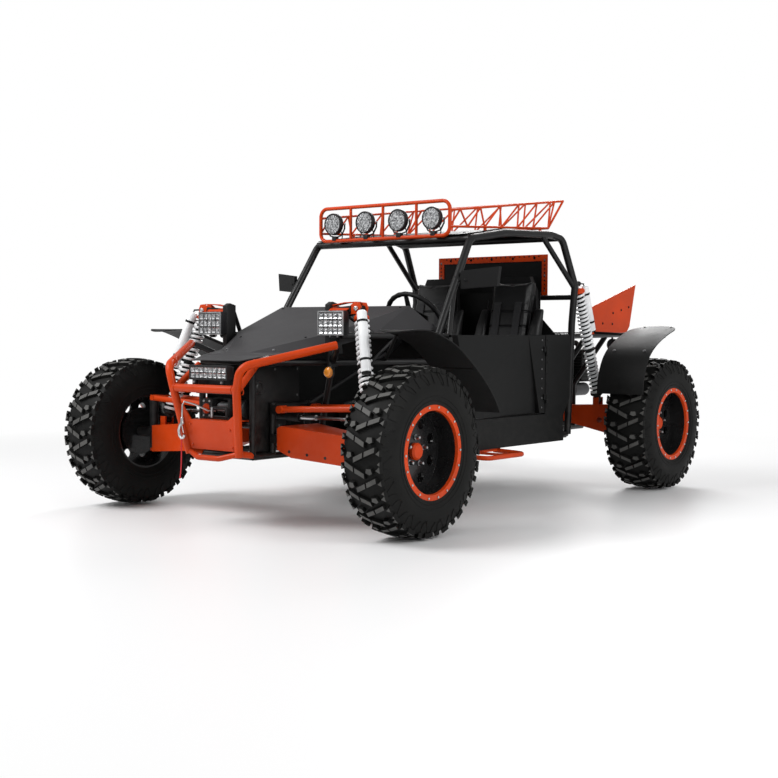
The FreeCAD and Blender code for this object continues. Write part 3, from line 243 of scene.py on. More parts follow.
SLOT_LOOKS = {
    "frame_black": "frame", "panel_black": "panel", "fender_black": "fender", "orange_paint": "orange",
    "seat_black": "leather", "trim_black": "trim", "strap_red": "strap", "winch_black": "winch",
    "lamp_black": "lamp", "signal_amber": "amber", "spring_white": "white", "cast_black": "cast",
    "bare_steel": "metal", "engine_grey": "engine", "tyre_rubber": "rubber", "rim_black": "rim",
}
for part in frame["record"]["subparts"]:
    node_mesh = nodes[part["node"]].data
    node_mesh.materials.clear()
    # The hood gets its own paler black, with painted sheen on its top.
    node_mesh.materials.append(looks["hood" if part["node"] == "hood" else SLOT_LOOKS[part["material_slot"]]])


# Mesh building

def add_object(name, data):
    piece = bpy.data.objects.new(name, data)
    bpy.context.scene.collection.objects.link(piece)
    return piece


def hand_over(piece, slot, node=None, body="chassis"):
    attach(piece, body)
    if node:
        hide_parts(node)


def aim(turn, first=Y, second=Z):
    # The unit direction at an angle from the first axis towards the second.
    return first * math.cos(turn) + second * math.sin(turn)


def spokes(count, first=Y, second=Z, start=0.0):
    return [aim(start + 2 * math.pi * i / count, first, second) for i in range(count)]


def axes(direction):
    # The direction's unit vector and two more across it.
    axis = Vector(direction).normalized()
    side = axis.orthogonal().normalized()
    return axis, side, axis.cross(side)


class Builder:
    """Collects simple forms into one mesh, in millimetres unless told otherwise, in the vehicle's frame."""

    def __init__(self, unit=MM):
        self.mesh = bmesh.new()
        self.unit = unit

    def loop(self, points):
        return [self.mesh.verts.new(Vector(point) * self.unit) for point in points]

    def skin(self, rings, closed=False):
        # Joins a row of rings; the row closes on itself or gets two end faces, of which it returns the last.
        count = len(rings[0])
        for near, far in zip(rings, rings[1:] + rings[:1] if closed else rings[1:]):
            for i in range(count):
                after = (i + 1) % count
                self.mesh.faces.new((near[i], near[after], far[after], far[i]))
        if closed:
            return None
        self.mesh.faces.new(rings[0][::-1])
        return self.mesh.faces.new(rings[-1])

    def lathe(self, start, direction, profile, segments=40, closed=False):
        # profile holds (distance along the direction, radius) pairs.
        axis, side, other = axes(direction)
        start = Vector(start)
        directions = spokes(segments, side, other)
        rings = [[start + axis * along + out * radius for out in directions] for along, radius in profile]
        self.skin([self.loop(ring) for ring in rings], closed)

    def rod(self, start, end, radius, chamfer=0.0, segments=24):
        start, end = Vector(start), Vector(end)
        length = (end - start).length
        profile = [(0, radius), (length, radius)]
        if chamfer:
            profile = [(0, radius - chamfer), (chamfer, radius), (length - chamfer, radius), (length, radius - chamfer)]
        self.lathe(start, end - start, profile, segments)

    def box(self, corner, far_corner, chamfer=0.0, turn=None):
        # An upright box between two corners, or one turned by a matrix about its centre.
        corner, far_corner = Vector(corner) * self.unit, Vector(far_corner) * self.unit
        half = Vector([abs(length) / 2 for length in far_corner - corner])
        part = bmesh.new()
        bmesh.ops.create_cube(part, size=2.0, matrix=Matrix.Diagonal(half.to_4d()))
        place = Matrix.Translation((corner + far_corner) / 2)
        self.merge(part, chamfer, place @ turn if turn else place)

    def prism(self, outline, push, chamfer=0.0):
        part = bmesh.new()
        near = [Vector(point) for point in outline]
        low = [part.verts.new(point * self.unit) for point in near]
        high = [part.verts.new((point + Vector(push)) * self.unit) for point in near]
        part.faces.new(low[::-1])
        part.faces.new(high)
        for i, corner in enumerate(low):
            after = (i + 1) % len(low)
            part.faces.new((corner, low[after], high[after], high[i]))
        bmesh.ops.recalc_face_normals(part, faces=part.faces[:])
        self.merge(part, chamfer)

    def sheet(self, axis, level, outline, thick, chamfer=0.0):
        # A flat sheet across one axis; the outline holds the other two coordinates.
        corners = [(*corner[:axis], level, *corner[axis:]) for corner in outline]
        self.prism(corners, (X, Y, Z)[axis] * thick, chamfer)

    def merge(self, part, chamfer, place=None):
        if chamfer:
            bmesh.ops.bevel(part, geom=part.edges[:], offset=chamfer * self.unit, segments=2, profile=0.6,
                            affect="EDGES")
        if place:
            part.transform(place)
        copy = bpy.data.meshes.new("copy")
        part.to_mesh(copy)
        part.free()
        self.mesh.from_mesh(copy)
        bpy.data.meshes.remove(copy)

    def tube(self, points, radius, segments=12, closed=False):
        # Sweeps a round section along the points with a frame that doesn't twist.
        points = [Vector(point) for point in points]
        last = len(points) - 1
        side = None
        rings = []
        for i, point in enumerate(points):
            if closed:
                ahead = (points[(i + 1) % len(points)] - points[i - 1]).normalized()
            else:
                ahead = (points[min(i + 1, last)] - points[max(i - 1, 0)]).normalized()
            side = side or ahead.orthogonal().normalized()
            side = (side - ahead * side.dot(ahead)).normalized()
            directions = spokes(segments, side, ahead.cross(side))
            rings.append(self.loop([point + out * radius for out in directions]))
        self.skin(rings, closed)

    def solid(self, name, sharp=None):
        # The mesh as an object, smooth except at the edges that are sharper than the angle.
        bmesh.ops.recalc_face_normals(self.mesh, faces=self.mesh.faces[:])
        mesh = bpy.data.meshes.new(name)
        self.mesh.to_mesh(mesh)
        self.mesh.free()
        if sharp:
            mesh.shade_smooth()
            mesh.set_sharp_from_angle(angle=math.radians(sharp))
        return add_object(name, mesh)

    def make(self, name, look, slot, node=None, body="chassis", sharp=35.0):
        piece = self.solid(name, sharp)
        piece.data.materials.append(looks[look])
        hand_over(piece, slot, node, body)
        return piece


# Wheels and tyres

TYRE_RADIUS = 0.381
LUG_HEIGHT = 0.017
BLOCK_RISE = LUG_HEIGHT - 0.0004
BLOCK_CHAMFER = 0.0018
RIM_RADIUS = 0.19
LUG_REPEATS = 18
BEAD_INSET = 0.016
SHOULDER_INSET = 0.022
SHOULDER_DROP = 0.012
# Raised marks on the sidewall, in (radius, along) metres
SIDE_RIBS = [
    [(0.352, -0.012), (0.352, 0.022), (0.318, 0.03), (0.296, 0.012), (0.322, 0.004)],
    [(0.35, 0.048), (0.35, 0.074), (0.322, 0.066), (0.3, 0.046), (0.33, 0.044)],
    [(0.34, 0.088), (0.346, 0.094), (0.3, 0.112), (0.294, 0.106)],
]


def arc_through(first, middle, last, count):
    # Points on the circle through three points, in the plane of (across, radius).
    (ax, ay), (bx, by), (cx, cy) = first, middle, last
    a, b, c = (x * x + y * y for x, y in (first, middle, last))
    d = 2 * (ax * (by - cy) + bx * (cy - ay) + cx * (ay - by))
    ux = (a * (by - cy) + b * (cy - ay) + c * (ay - by)) / d
    uy = (a * (cx - bx) + b * (ax - cx) + c * (bx - ax)) / d
    radius = math.hypot(ax - ux, ay - uy)
    start, halfway, end = (math.atan2(y - uy, x - ux) for x, y in (first, middle, last))
    full = 2 * math.pi
    sweep = (end - start) % full
    if (halfway - start) % full > sweep:
        sweep -= full
    turns = [start + sweep * i / (count - 1) for i in range(count)]
    return [(ux + radius * math.cos(turn), uy + radius * math.sin(turn)) for turn in turns]


class TyreShape:
    """The carcass of one tyre about the Y axis, and the height of its surface."""

    def __init__(self, width):
        self.half = width / 2
        self.crown = TYRE_RADIUS - LUG_HEIGHT
        self.edge = (self.half - SHOULDER_INSET, self.crown - SHOULDER_DROP)
        bead = (self.half - BEAD_INSET, RIM_RADIUS)
        self.side = arc_through(bead, (self.half, (RIM_RADIUS + self.crown) / 2), self.edge, 15)
        self.tread = arc_through(self.edge, (0.0, self.crown), (-self.edge[0], self.edge[1]), 13)

    def crown_height(self, across):
        share = min(1.0, abs(across) / self.edge[0])
        return self.crown - SHOULDER_DROP * share * share

    def side_at(self, radius):
        for (y1, r1), (y2, r2) in zip(self.side, self.side[1:]):
            if r1 <= radius <= r2:
                return y1 + (y2 - y1) * (radius - r1) / (r2 - r1)
        return self.side[-1][0]

    def profile(self):
        return self.side + self.tread[1:-1] + [(-y, r) for y, r in reversed(self.side)]


def grown(outline, grow):
    # The outline with every corner moved outward from the middle.
    mid_a, mid_b = (sum(values) / len(outline) for values in zip(*outline))
    corners = []
    for a, b in outline:
        scale = 1 + grow / math.hypot(a - mid_a, b - mid_b)
        corners.append((mid_a + (a - mid_a) * scale, mid_b + (b - mid_b) * scale))
    return corners


def raised_block(build, shape, outline):
    # A tread block: outline in (across, along the tread) metres.
    rings = []
    for height, grow in ((-0.003, 0.002), (BLOCK_RISE - BLOCK_CHAMFER, 0.0), (BLOCK_RISE, -BLOCK_CHAMFER)):
        rings.append(build.loop([aim(s / TYRE_RADIUS, X, Z) * (shape.crown_height(y) + height) + Y * y
                                 for y, s in grown(outline, grow)]))
    # The top has the tyre's second, paler material: partly real wear, partly painted highlight.
    build.skin(rings).material_index = 1


def side_rib(build, shape, outline, side):
    rings = []
    for height, grow in ((-0.002, 0.0), (0.003, -0.0015)):
        rings.append(build.loop([aim(s / r, X, Z) * r + Y * (side * (shape.side_at(r) + height))
                                 for r, s in grown(outline, grow)]))
    build.skin(rings)


def tread_blocks(pitch, half):
    # One repeat on one side of the tread: two bar blocks, an inner block and three shoulder blocks.
    reach = half - SHOULDER_INSET
    slope = 0.45
    thick = 0.0115

    def bar(start, end):
        return [(start, slope * start - thick), (end, slope * end - thick),
                (end, slope * end + thick), (start, slope * start + thick)]

    inner_start = -0.028
    bar_end = 0.82 * reach
    split = (inner_start + bar_end) / 2
    half_gap = 0.0025
    comma = ((0.35, 0.002), (0.56, -0.008), (0.7, 0.0), (0.64, 0.022), (0.4, 0.021))
    shoulders = (
        ((0.86, 0.14), (1.06, 0.06), (1.06, 0.27)),
        ((0.84, 0.6), (1.06, 0.5), (1.06, 0.74)),
        ((0.93, -0.2), (1.08, -0.26), (1.08, -0.1)),
    )
    blocks = [bar(inner_start, split - half_gap), bar(split + half_gap, bar_end),
              [(across * reach, 0.5 * pitch + along) for across, along in comma]]
    return blocks + [[(across * reach, along * pitch) for across, along in block] for block in shoulders]


def make_tyre(name, hand, axle, track, width):
    shape = TyreShape(width)
    build = Builder(METRES)
    build.lathe((0, 0, 0), Y, shape.profile(), 96, closed=True)
    for radius, rise in ((0.226, 0.0022), (0.245, 0.0016)):
        for side in (-1, 1):
            ring = [(side * (shape.side_at(radius) + up), radius + out) for up, out in (
                (-0.002, -0.004), (rise, -0.002), (rise, 0.002), (-0.002, 0.004))]
            build.lathe((0, 0, 0), Y, ring, 96, closed=True)
    blocks = tread_blocks(2 * math.pi * TYRE_RADIUS / LUG_REPEATS, shape.half)
    for i in range(LUG_REPEATS):
        for side in (1, -1):
            start = len(build.mesh.verts)
            for outline in blocks:
                raised_block(build, shape, [(side * y, s) for y, s in outline])
            for outline in SIDE_RIBS:
                side_rib(build, shape, outline, side)
            # The two sides of the tread are half a repeat apart.
            angle = 2 * math.pi * (i + (0.5 if side < 0 else 0.0)) / LUG_REPEATS
            spin = Matrix.Rotation(angle, 4, "Y")
            for vert in list(build.mesh.verts)[start:]:
                vert.co = spin @ vert.co
    place = Matrix.Translation((axle, hand * track, TYRE_RADIUS))
    build.mesh.transform(place @ Matrix.Diagonal((1, hand, 1, 1)))
    tyre = build.make("lugged_tyre_" + name, "rubber", "tyre_rubber", "tyre_" + name, name + "_wheel", 30.0)
    tyre.data.materials.append(looks["lug"])


def ring_bolts(name, hand, axle, track, width):
    # Bolt heads round the bead ring, wheel nuts round the hub cap and the tyre's valve.
    out = Y * hand
    ring_face = Vector((axle, hand * (track + width / 2 - 9), TYRE_RADIUS / MM))
    disc_face = ring_face - out * 104
    build = Builder()
    for spoke in spokes(18, X, Z):
        build.lathe(ring_face - out * 0.5 + spoke * 199, out, [(0, 6), (0.8, 6.2), (4.2, 5.5), (5.2, 4)], 6)
    for spoke in spokes(5, X, Z, 0.4):
        build.lathe(disc_face + out + spoke * 62, out, [(0, 12.5), (4, 12.5), (4, 9.5), (20, 9.5), (25, 6)], 6)
    valve = disc_face - out + aim(0.9, X, Z) * 165
    build.rod(valve, valve + out * 22, 4, 1, 12)
    build.make("wheel_bolts_" + name, "metal", "bare_steel", body=name + "_wheel")


for place, track, width in (("front", 920, 240), ("rear", 870, 275)):
    low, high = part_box("tyre_" + place + "_left")
    axle = (low.x + high.x) / 2
    for side_name, hand in (("left", 1), ("right", -1)):
        make_tyre(place + "_" + side_name, hand, axle, track * MM, width * MM)
        ring_bolts(place + "_" + side_name, hand, axle / MM, track, width)


# Shock absorbers and their towers

FRONT_SHOCK = (Vector((1109, 511, 1010)), Vector((1234, 672, 448)))
REAR_SHOCK = (Vector((-796, 560, 1190)), Vector((-1058, 560, 508)))
COIL_PITCH = 24.5


def coil_points(start, end, radius):
    turns = round((end - start).length / COIL_PITCH)
    axis, side, other = axes(end - start)
    count = turns * 18
    points = []
    for i in range(count + 1):
        share = i / count
        # The end turns of a spring lie flat against its seats.
        along = share + 0.012 * math.sin(2 * math.pi * share)
        points.append(start.lerp(end, along) + aim(2 * math.pi * turns * share, side, other) * radius)
    return points


def add_shock(builds, top, bottom, tank_offset, tank_share, split):
    # Coils, damper, reservoir, seats and eyes of one shock absorber.
    white, metal, dark, orange = builds
    axis = (bottom - top).normalized()
    upper = top + axis * 50
    lower = bottom - axis * 45
    ring = upper.lerp(lower, split)
    for start, end in ((upper + axis * 6, ring - axis * 5), (ring + axis * 5, lower - axis * 6)):
        white.tube(coil_points(start, end, 29.2), 7.3, 8)
    dark.lathe(ring - axis * 5, axis, [(0, 34), (2, 36.5), (8, 36.5), (10, 34)], 32)
    dark.lathe(lower, axis, [(-6, 20), (-6, 36.5), (6, 36.5), (16, 24), (30, 20)], 32)
    dark.rod(upper, lower, 20, 1, 28)
    metal.rod(top + axis * 12, upper, 8.5, 0, 20)
    orange.lathe(upper, axis, [(-22, 16), (-20, 26), (-6, 36.5), (4, 36.5), (6, 30)], 32)
    for eye in (top, bottom):
        dark.rod(eye - X * 20, eye + X * 20, 15.5, 2, 28)
        for out in (X, -X):
            metal.lathe(eye + out * 20, out, [(0, 11), (1.5, 11), (6, 9.5), (7, 6)], 6)
    tank_top = top + tank_offset + axis * 10
    reach = (bottom - top).length * tank_share
    white.lathe(tank_top, axis, [(0, 12), (4, 20), (10, 23.5), (reach - 12, 23.5), (reach - 10, 22.5),
                                 (reach - 8, 24), (reach - 2, 23.5), (reach, 20)], 40)
    dark.lathe(tank_top + axis * (reach - 2), axis, [(0, 20.5), (2, 22.5), (8, 22.5), (11, 12)], 32)
    for share in (0.16, 0.78):
        band = tank_top + axis * (reach * share)
        dark.lathe(band, axis, [(0, 23.6), (1, 25), (11, 25), (12, 23.6)], 36)
        dark.rod(band - tank_offset.normalized() * 20, band - tank_offset, 5, 0, 10)
    hose_start = tank_top + axis * 4
    hose_end = top + axis * 30
    middle = hose_start.lerp(hose_end, 0.5) - axis * 24
    dark.tube([hose_start, hose_start - axis * 14, middle, hose_end - axis * 12, hose_end], 4.5, 10)


def make_shocks():
    builds = [Builder() for look in range(4)]
    for side in (1, -1):
        mirror = Matrix.Diagonal((1, side, 1))
        for (top, bottom), offset, share, split in ((FRONT_SHOCK, (46, 42, 0), 0.5, 0.46),
                                                    (REAR_SHOCK, (-62, 8, 0), 0.38, 0.56)):
            add_shock(builds, mirror @ top, mirror @ bottom, mirror @ Vector(offset), share, split)
    for build, row in zip(builds, (
            ("shock_springs", "white", "spring_white"), ("shock_dampers", "metal", "bare_steel"),
            ("shock_seats", "trim", "frame_black"), ("shock_caps", "orange", "orange_paint"))):
        build.make(*row, "shocks")


def make_towers():
    # Black posts and legs, with orange bracket plates that hold the front shocks' top eyes.
    black, orange, metal = Builder(), Builder(), Builder()
    for side in (1, -1):
        def mirrored(*outline):
            return [(side * y, z) for y, z in outline]

        post = [(1084, 737), (1149, 737), (1149, 1030), (1123, 1044), (1084, 1034)]
        black.sheet(1, side * 326, post, side * 28, 2)
        black.rod((1097, side * 340, 1026), (921, side * 450, 885), 11)
        black.sheet(1, side * 354, [(1084, 800), (1084, 950), (1049, 800)], -side * 4)
        for x in (1132, 1084):
            black.sheet(0, x, mirrored((350, 954), (350, 1014), (480, 1024), (480, 986)), 8, 1)
            ear = mirrored((474, 984), (474, 1026), (498, 1040), (526, 1038), (538, 1014), (530, 986))
            orange.sheet(0, x, ear, 8, 1)
        strap = mirrored((350, 1028), (430, 1040), (500, 1042), (500, 1038), (430, 1035), (350, 1023))
        orange.sheet(0, 1092, strap, 40, 0.8)
        metal.lathe((1140, side * 511, 1010), X, [(0, 13), (2, 13), (9, 11.5), (11, 7)], 6)
    black.make("tower_posts", "frame", "frame_black", "shock_towers")
    orange.make("tower_brackets", "orange", "orange_paint", "shock_towers")
    metal.make("tower_bolts", "metal", "bare_steel", "shock_towers")


make_shocks()
make_towers()


# Lamps

FIN_PITCH = 12.2


def led_panel(dark, rim, lens, low, high, columns, rows, bezel):
    # A finned housing, a bright frame and a grid of square reflector cups that faces forward.
    (back, y1, z1), (face, y2, z2) = low, high
    dark.box((back + 12, y1, z1), (face - 6, y2, z2), 3)
    fins = int((y2 - y1) / FIN_PITCH)
    for i in range(fins):
        y = y1 + 6 + (y2 - y1 - 12) * i / (fins - 1)
        dark.box((back, y - 1.6, z1 + 6), (back + 14, y + 1.6, z2 - 6), 0.6)
    in_y1, in_y2, in_z1, in_z2 = y1 + bezel, y2 - bezel, z1 + bezel, z2 - bezel
    for corner, far_corner in (((y1, z1), (y2, in_z1)), ((y1, in_z2), (y2, z2)), ((y1, in_z1), (in_y1, in_z2)),
                               ((in_y2, in_z1), (y2, in_z2))):
        rim.box((face - 8, *corner), (face - 0.5, *far_corner), 1.5)
    wide = (in_y2 - in_y1) / columns
    tall = (in_z2 - in_z1) / rows
    for column in range(columns):
        for row in range(rows):
            y = in_y1 + wide * (column + 0.5)
            z = in_z1 + tall * (row + 0.5)
            lens.skin([
                lens.loop([(face - depth, y + sy * wide * share, z + sz * tall * share)
                           for sy, sz in ((-1, -1), (1, -1), (1, 1), (-1, 1))])
                for depth, share in ((6, 0.4), (2, 0.42), (5.5, 0.2), (3, 0.12))])


def round_lamp(dark, lens, metal, y):
    # Round work lamp: ribbed bowl, black bezel ring, rings of cups behind the cover, and its bracket.
    middle = Vector((0, y, 1495))
    dark.lathe(middle + X * 270, X, [(0, 22), (2, 30), (12, 36), (30, 54), (34, 59.5), (56, 59.5), (60, 57.5),
                                     (60, 52.5), (54, 51.5)], 48)
    for out in spokes(20):
        dark.tube([middle + X * 273 + out * 20, middle + X * 297 + out * 53], 1.3, 4)
    lens.lathe(middle + X * 322.5, X, [(0, 50), (2, 51.5), (3, 51.5)], 40)
    for radius, cups in ((0, 1), (16.5, 6), (32.5, 12), (45.5, 18)):
        for out in spokes(cups):
            lens.lathe(middle + X * 324.5 + out * radius, X,
                       [(0, 6.6), (2.8, 6.2), (1.2, 3.8), (3.4, 2.2), (3.8, 1)], 8)
    for out in spokes(3, start=0.5):
        metal.lathe(middle + X * 329.5 + out * 55, X, [(0, 2.2), (1.2, 1.8)], 8)
    for edge in (-1, 1):
        bracket = ((62, 1495), (62, 1470), (40, 1434), (16, 1428), (10, 1410))
        dark.tube([(297, y + edge * across, z) for across, z in bracket], 4.5, 8)
        metal.lathe((297, y + edge * 60, 1495), Y * edge, [(0, 7.5), (5, 6.5), (6, 4)], 6)
    dark.box((292, y - 14, 1405), (316, y + 14, 1430), 2)
    dark.tube([(272, y, 1495), (262, y + 4, 1470), (268, y + 22, 1430), (285, y + 30, 1410)], 3, 8)


def make_lamps():
    dark, alloy, lens, orange = (Builder() for look in range(4))
    for side in (1, -1):
        low_y, high_y = sorted((side * 322, side * 478))
        led_panel(dark, alloy, lens, (1149.3, low_y, 885), (1198.5, high_y, 999), 5, 3, 6)
        dark.box((1160, side * 400 - 10, 872), (1182, side * 400 + 10, 886), 2)
        for y in (side * 400 - 22, side * 400 + 22):
            alloy.rod((1171, y, 876), (1171, y, 886), 4.5, 1, 10)
        orange.prism([(1152, side * 352, 1000.5), (1152, side * 462, 1000.5), (1132, side * 470, 1016),
                      (1132, side * 352, 1016)], Z * 3, 0.6)
    led_panel(dark, dark, lens, (1549, -124.5, 677), (1592.8, 124.5, 745), 8, 2, 8.5)
    dark.box((1545, -122, 612), (1549.5, 122, 740), 1)
    for y in (-90, 90):
        dark.box((1579, y - 12, 640), (1592, y + 12, 678), 1.5)
        alloy.lathe((1592, y, 666), X, [(0, 6.5), (4, 5.8), (5, 3)], 6)
    dark.make("led_housings", "lamp", "lamp_black", "led_lamps")
    alloy.make("led_frames", "alloy", "bare_steel", "led_lamps")
    lens.make("led_cups", "lens", "lamp_black", "led_lamps", sharp=20.0)
    orange.make("led_brackets", "orange", "orange_paint")
    dark, lens, metal = Builder(), Builder(), Builder()
    for y in (-336, -112, 112, 336):
        round_lamp(dark, lens, metal, y)
    dark.make("roof_lamp_bowls", "lamp", "lamp_black", "roof_lamps")
    lens.make("roof_lamp_cups", "lens", "lamp_black", "roof_lamps", sharp=20.0)
    metal.make("roof_lamp_screws", "metal", "bare_steel", "roof_lamps")


def make_signals():
    amber, red, dark = Builder(), Builder(), Builder()
    for side in (1, -1):
        centre = Vector((1149.3, side * 362, 712))
        dark.lathe(centre, X, [(0, 26), (2, 28), (12, 28), (13, 26)], 32)
        amber.lathe(centre + X * 11, X, [(0, 25.5), (6, 25.5), (12, 22), (16, 15), (17.5, 6)], 32)
        for out in spokes(6):
            amber.lathe(centre + X * 20 + out * 14.5, X, [(0, 6.2), (5, 5), (6.5, 2.5)], 10)
        dark.box((1149.5, side * 330, 704), (1155.3, side * 376, 742), 1)
        tail = Vector((-1560, side * 380, 833))
        dark.lathe(tail, -X, [(0, 36), (3, 40), (18, 40), (19, 36)], 36)
        red.lathe(tail - X * 17, -X, [(0, 36.5), (5, 36.5), (10, 31), (12.5, 20), (13, 8)], 36)
        dark.box((-1564, side * 374, 833), (-1558.5, side * 386, 899), 1)
    amber.make("front_signal_lenses", "amber_lens", "signal_amber", "signal_lamps")
    red.make("tail_lenses", "red_lens", "signal_amber", "signal_lamps")
    dark.make("signal_bases", "lamp", "lamp_black", "signal_lamps")


make_lamps()
make_signals()


# Seats, in metres

SEAT_Y = 0.275
SEAT_HALF = 0.225
CLOTH_FRAMES = 20


def with_modifier_applied(piece):
    depsgraph = bpy.context.evaluated_depsgraph_get()
    mesh = bpy.data.meshes.new_from_object(piece.evaluated_get(depsgraph))
    piece.modifiers.clear()
    old = piece.data
    piece.data = mesh
    bpy.data.meshes.remove(old)


def swell(piece, cap):
    # Swells a closed pad with cloth pressure and keeps each point within the cap.
    remesh = piece.modifiers.new("even_faces", "REMESH")
    remesh.mode = "VOXEL"
    remesh.voxel_size = 0.006
    with_modifier_applied(piece)
    rest = [vert.co.copy() for vert in piece.data.vertices]
    cloth = piece.modifiers.new("padding", "CLOTH")
    cloth.settings.use_pressure = True
    cloth.settings.uniform_pressure_force = 4.0
    cloth.settings.effector_weights.gravity = 0.0
    cloth.point_cache.frame_start = 1
    cloth.point_cache.frame_end = CLOTH_FRAMES
    scene = bpy.context.scene
    for number in range(1, CLOTH_FRAMES + 1):
        scene.frame_set(number)
    with_modifier_applied(piece)
    for vert, start in zip(piece.data.vertices, rest):
        move = vert.co - start
        if move.length > cap:
            vert.co = start + move.normalized() * cap
    scene.frame_set(1)
    smooth = piece.modifiers.new("smooth_cover", "SUBSURF")
    smooth.levels = 1
    smooth.render_levels = 1
    with_modifier_applied(piece)
    piece.data.shade_smooth()


def sew(piece, points, direction):
    # Presses sewn channels into the cover: points near a groove's plane sink.
    depth = 0.0055
    width = 0.0045
    low = SEAT_Y - SEAT_HALF + 0.05
    high = SEAT_Y + SEAT_HALF - 0.05
    normals = [vert.normal.copy() for vert in piece.data.vertices]
    for vert, normal in zip(piece.data.vertices, normals):
        sink = 0.0
        for point in points:
            away = (vert.co - point).dot(direction)
            if low <= vert.co.y <= high and abs(away) < 3 * width:
                sink = max(sink, depth * math.exp(-(away / width) ** 2))
        vert.co -= normal * sink


def make_pad(name, profile, inset, start_y, wide, chamfer, cap):
    # A pad from its side view, drawn in a little so that it can swell.
    centre = Vector((sum(p[0] for p in profile) / len(profile), 0, sum(p[1] for p in profile) / len(profile)))
    outline = []
    for x, z in profile:
        point = Vector((x, 0, z))
        outline.append(point + (centre - point).normalized() * inset + Vector((0, start_y, 0)))
    build = Builder(METRES)
    build.prism(outline, (0, wide, 0), chamfer)
    pad = build.solid("seat_" + name)
    swell(pad, cap)
    return pad


def make_seat_pads():
    base_side = [(0.08, 0.44), (0.084, 0.482), (0.03, 0.492), (-0.13, 0.462), (-0.37, 0.492), (-0.395, 0.45),
                 (-0.14, 0.41)]
    back_side = [(-0.425, 0.5), (-0.408, 0.5), (-0.45, 0.72), (-0.535, 1.11), (-0.56, 1.205),
                 (-0.6, 1.2), (-0.592, 1.1), (-0.5, 0.72)]
    base, back = (make_pad(name, profile, 0.004, SEAT_Y - half, 2 * half, 0.006, 0.014) for name, profile, half in (
        ("base_pad", base_side, SEAT_HALF - 0.075), ("back_pad", back_side, SEAT_HALF - 0.085)))
    pitch = 0.085
    sew(back, [Vector((-0.43 - 0.21 * i * pitch, 0, 0.6 + i * pitch)) for i in range(6)],
        Vector((-0.21, 0, 0.978)).normalized())
    sew(base, [Vector((-0.31 + i * pitch, 0, 0.48)) for i in range(5)], Vector((0.97, 0, 0.12)).normalized())
    back_wing = [(-0.48, 0.5), (-0.375, 0.5), (-0.378, 0.6), (-0.42, 0.78), (-0.492, 0.96), (-0.548, 1.05),
                 (-0.568, 1.045), (-0.52, 0.74)]
    base_wing = [(0.074, 0.448), (0.07, 0.498), (-0.02, 0.512), (-0.16, 0.5), (-0.3, 0.52), (-0.385, 0.53),
                 (-0.385, 0.47), (-0.14, 0.425)]
    wings = []
    for place, side in (("outer", 1), ("inner", -1)):
        for name, profile in (("back_wing_", back_wing), ("base_wing_", base_wing)):
            near = SEAT_Y + side * (SEAT_HALF - 0.072)
            wings.append(make_pad(name + place, profile, 0.006, near, side * 0.058, 0.014, 0.007))
    return [base, back] + wings


def seat_shell():
    # Moulded shell behind and under the pads, with a rolled edge and a plinth.
    build = Builder(METRES)
    section = [
        (0.094, 0.452), (0.072, 0.376), (-0.5, 0.345), (-0.56, 0.48), (-0.64, 1.15), (-0.632, 1.228),
        (-0.594, 1.226), (-0.586, 1.1), (-0.48, 0.64), (-0.4, 0.462), (-0.14, 0.418),
    ]
    middle = sum(x for x, z in section) / len(section)

    def half_width(z):
        # Narrower from the shoulders up, and narrower again at the head.
        shoulders = 0.09 * max(0.0, min(z, 1.12) - 0.96) / 0.16
        head = 0.042 * max(0.0, z - 1.12) / 0.11
        return SEAT_HALF - 0.004 - shoulders - head

    rings = []
    for across in (-1.0, -0.94, -0.8, 0.0, 0.8, 0.94, 1.0):
        inset = 0.01 * max(0.0, abs(across) - 0.8) / 0.2
        rings.append(build.loop([(x + (middle - x) * inset, SEAT_Y + across * half_width(z), z) for x, z in section]))
    build.skin(rings)
    build.box((-0.458, SEAT_Y - 0.16, 0.343), (-0.018, SEAT_Y + 0.16, 0.42), 0.004)
    for x in (-0.44, -0.04):
        for y in (SEAT_Y - 0.168, SEAT_Y + 0.168):
            build.box((x - 0.02, y - 0.012, 0.3405), (x + 0.02, y + 0.012, 0.35), 0.002)
    return build.solid("seat_shell", 32)


def seat_piping():
    build = Builder(METRES)
    for side in (1, -1):
        y = SEAT_Y + side * (SEAT_HALF - 0.078)
        for line in (((-0.412, 0.52), (-0.44, 0.7), (-0.49, 0.9), (-0.532, 1.09)),
                     ((0.07, 0.49), (0.0, 0.487), (-0.13, 0.47), (-0.3, 0.487), (-0.37, 0.5))):
            build.tube([(x, y, z) for x, z in line], 0.0028, 8)
    return build.solid("seat_piping", 180)


def front_of(pad, y, z):
    # How far forward the pad comes within a strap's width of one place.
    return max(pad.ray_cast(Vector((0.3, y + across, z + above)), -X)[1].x
               for across in (-0.022, 0.0, 0.022) for above in (-0.02, 0.0, 0.02))


def harness(pad):
    # Two shoulder straps, as flat webbing laid over the crowns of the back pad.
    build = Builder(METRES)
    for side in (1, -1):
        y = SEAT_Y + side * 0.072
        crowns = [1.0675 - 0.085 * i for i in range(7)]
        route = [(-0.592, 1.13), (-0.56, 1.134)] + [(front_of(pad, y, z) + 0.0025, z) for z in crowns]
        route.append((front_of(pad, y, 0.53) + 0.001, 0.525))
        rings = []
        for i, (x, z) in enumerate(route):
            middle = y - side * 0.01 * i / (len(route) - 1)
            rings.append(build.loop([(x + thick * 0.0014, middle + wide * 0.022, z) for thick, wide in (
                (1, 1), (1, -1), (-1, -1), (-1, 1))]))
        build.skin(rings)
    return build.solid("seat_harness")


def buckles(pad):
    build = Builder(METRES)
    tilt = Matrix.Rotation(math.radians(-14), 4, "Y")
    for side in (1, -1):
        y = SEAT_Y + side * 0.067
        x = front_of(pad, y, 0.812)
        build.box((x - 0.004, y - 0.026, 0.792), (x + 0.008, y + 0.026, 0.834), 0.003, tilt)
    return build.solid("seat_buckles", 35)


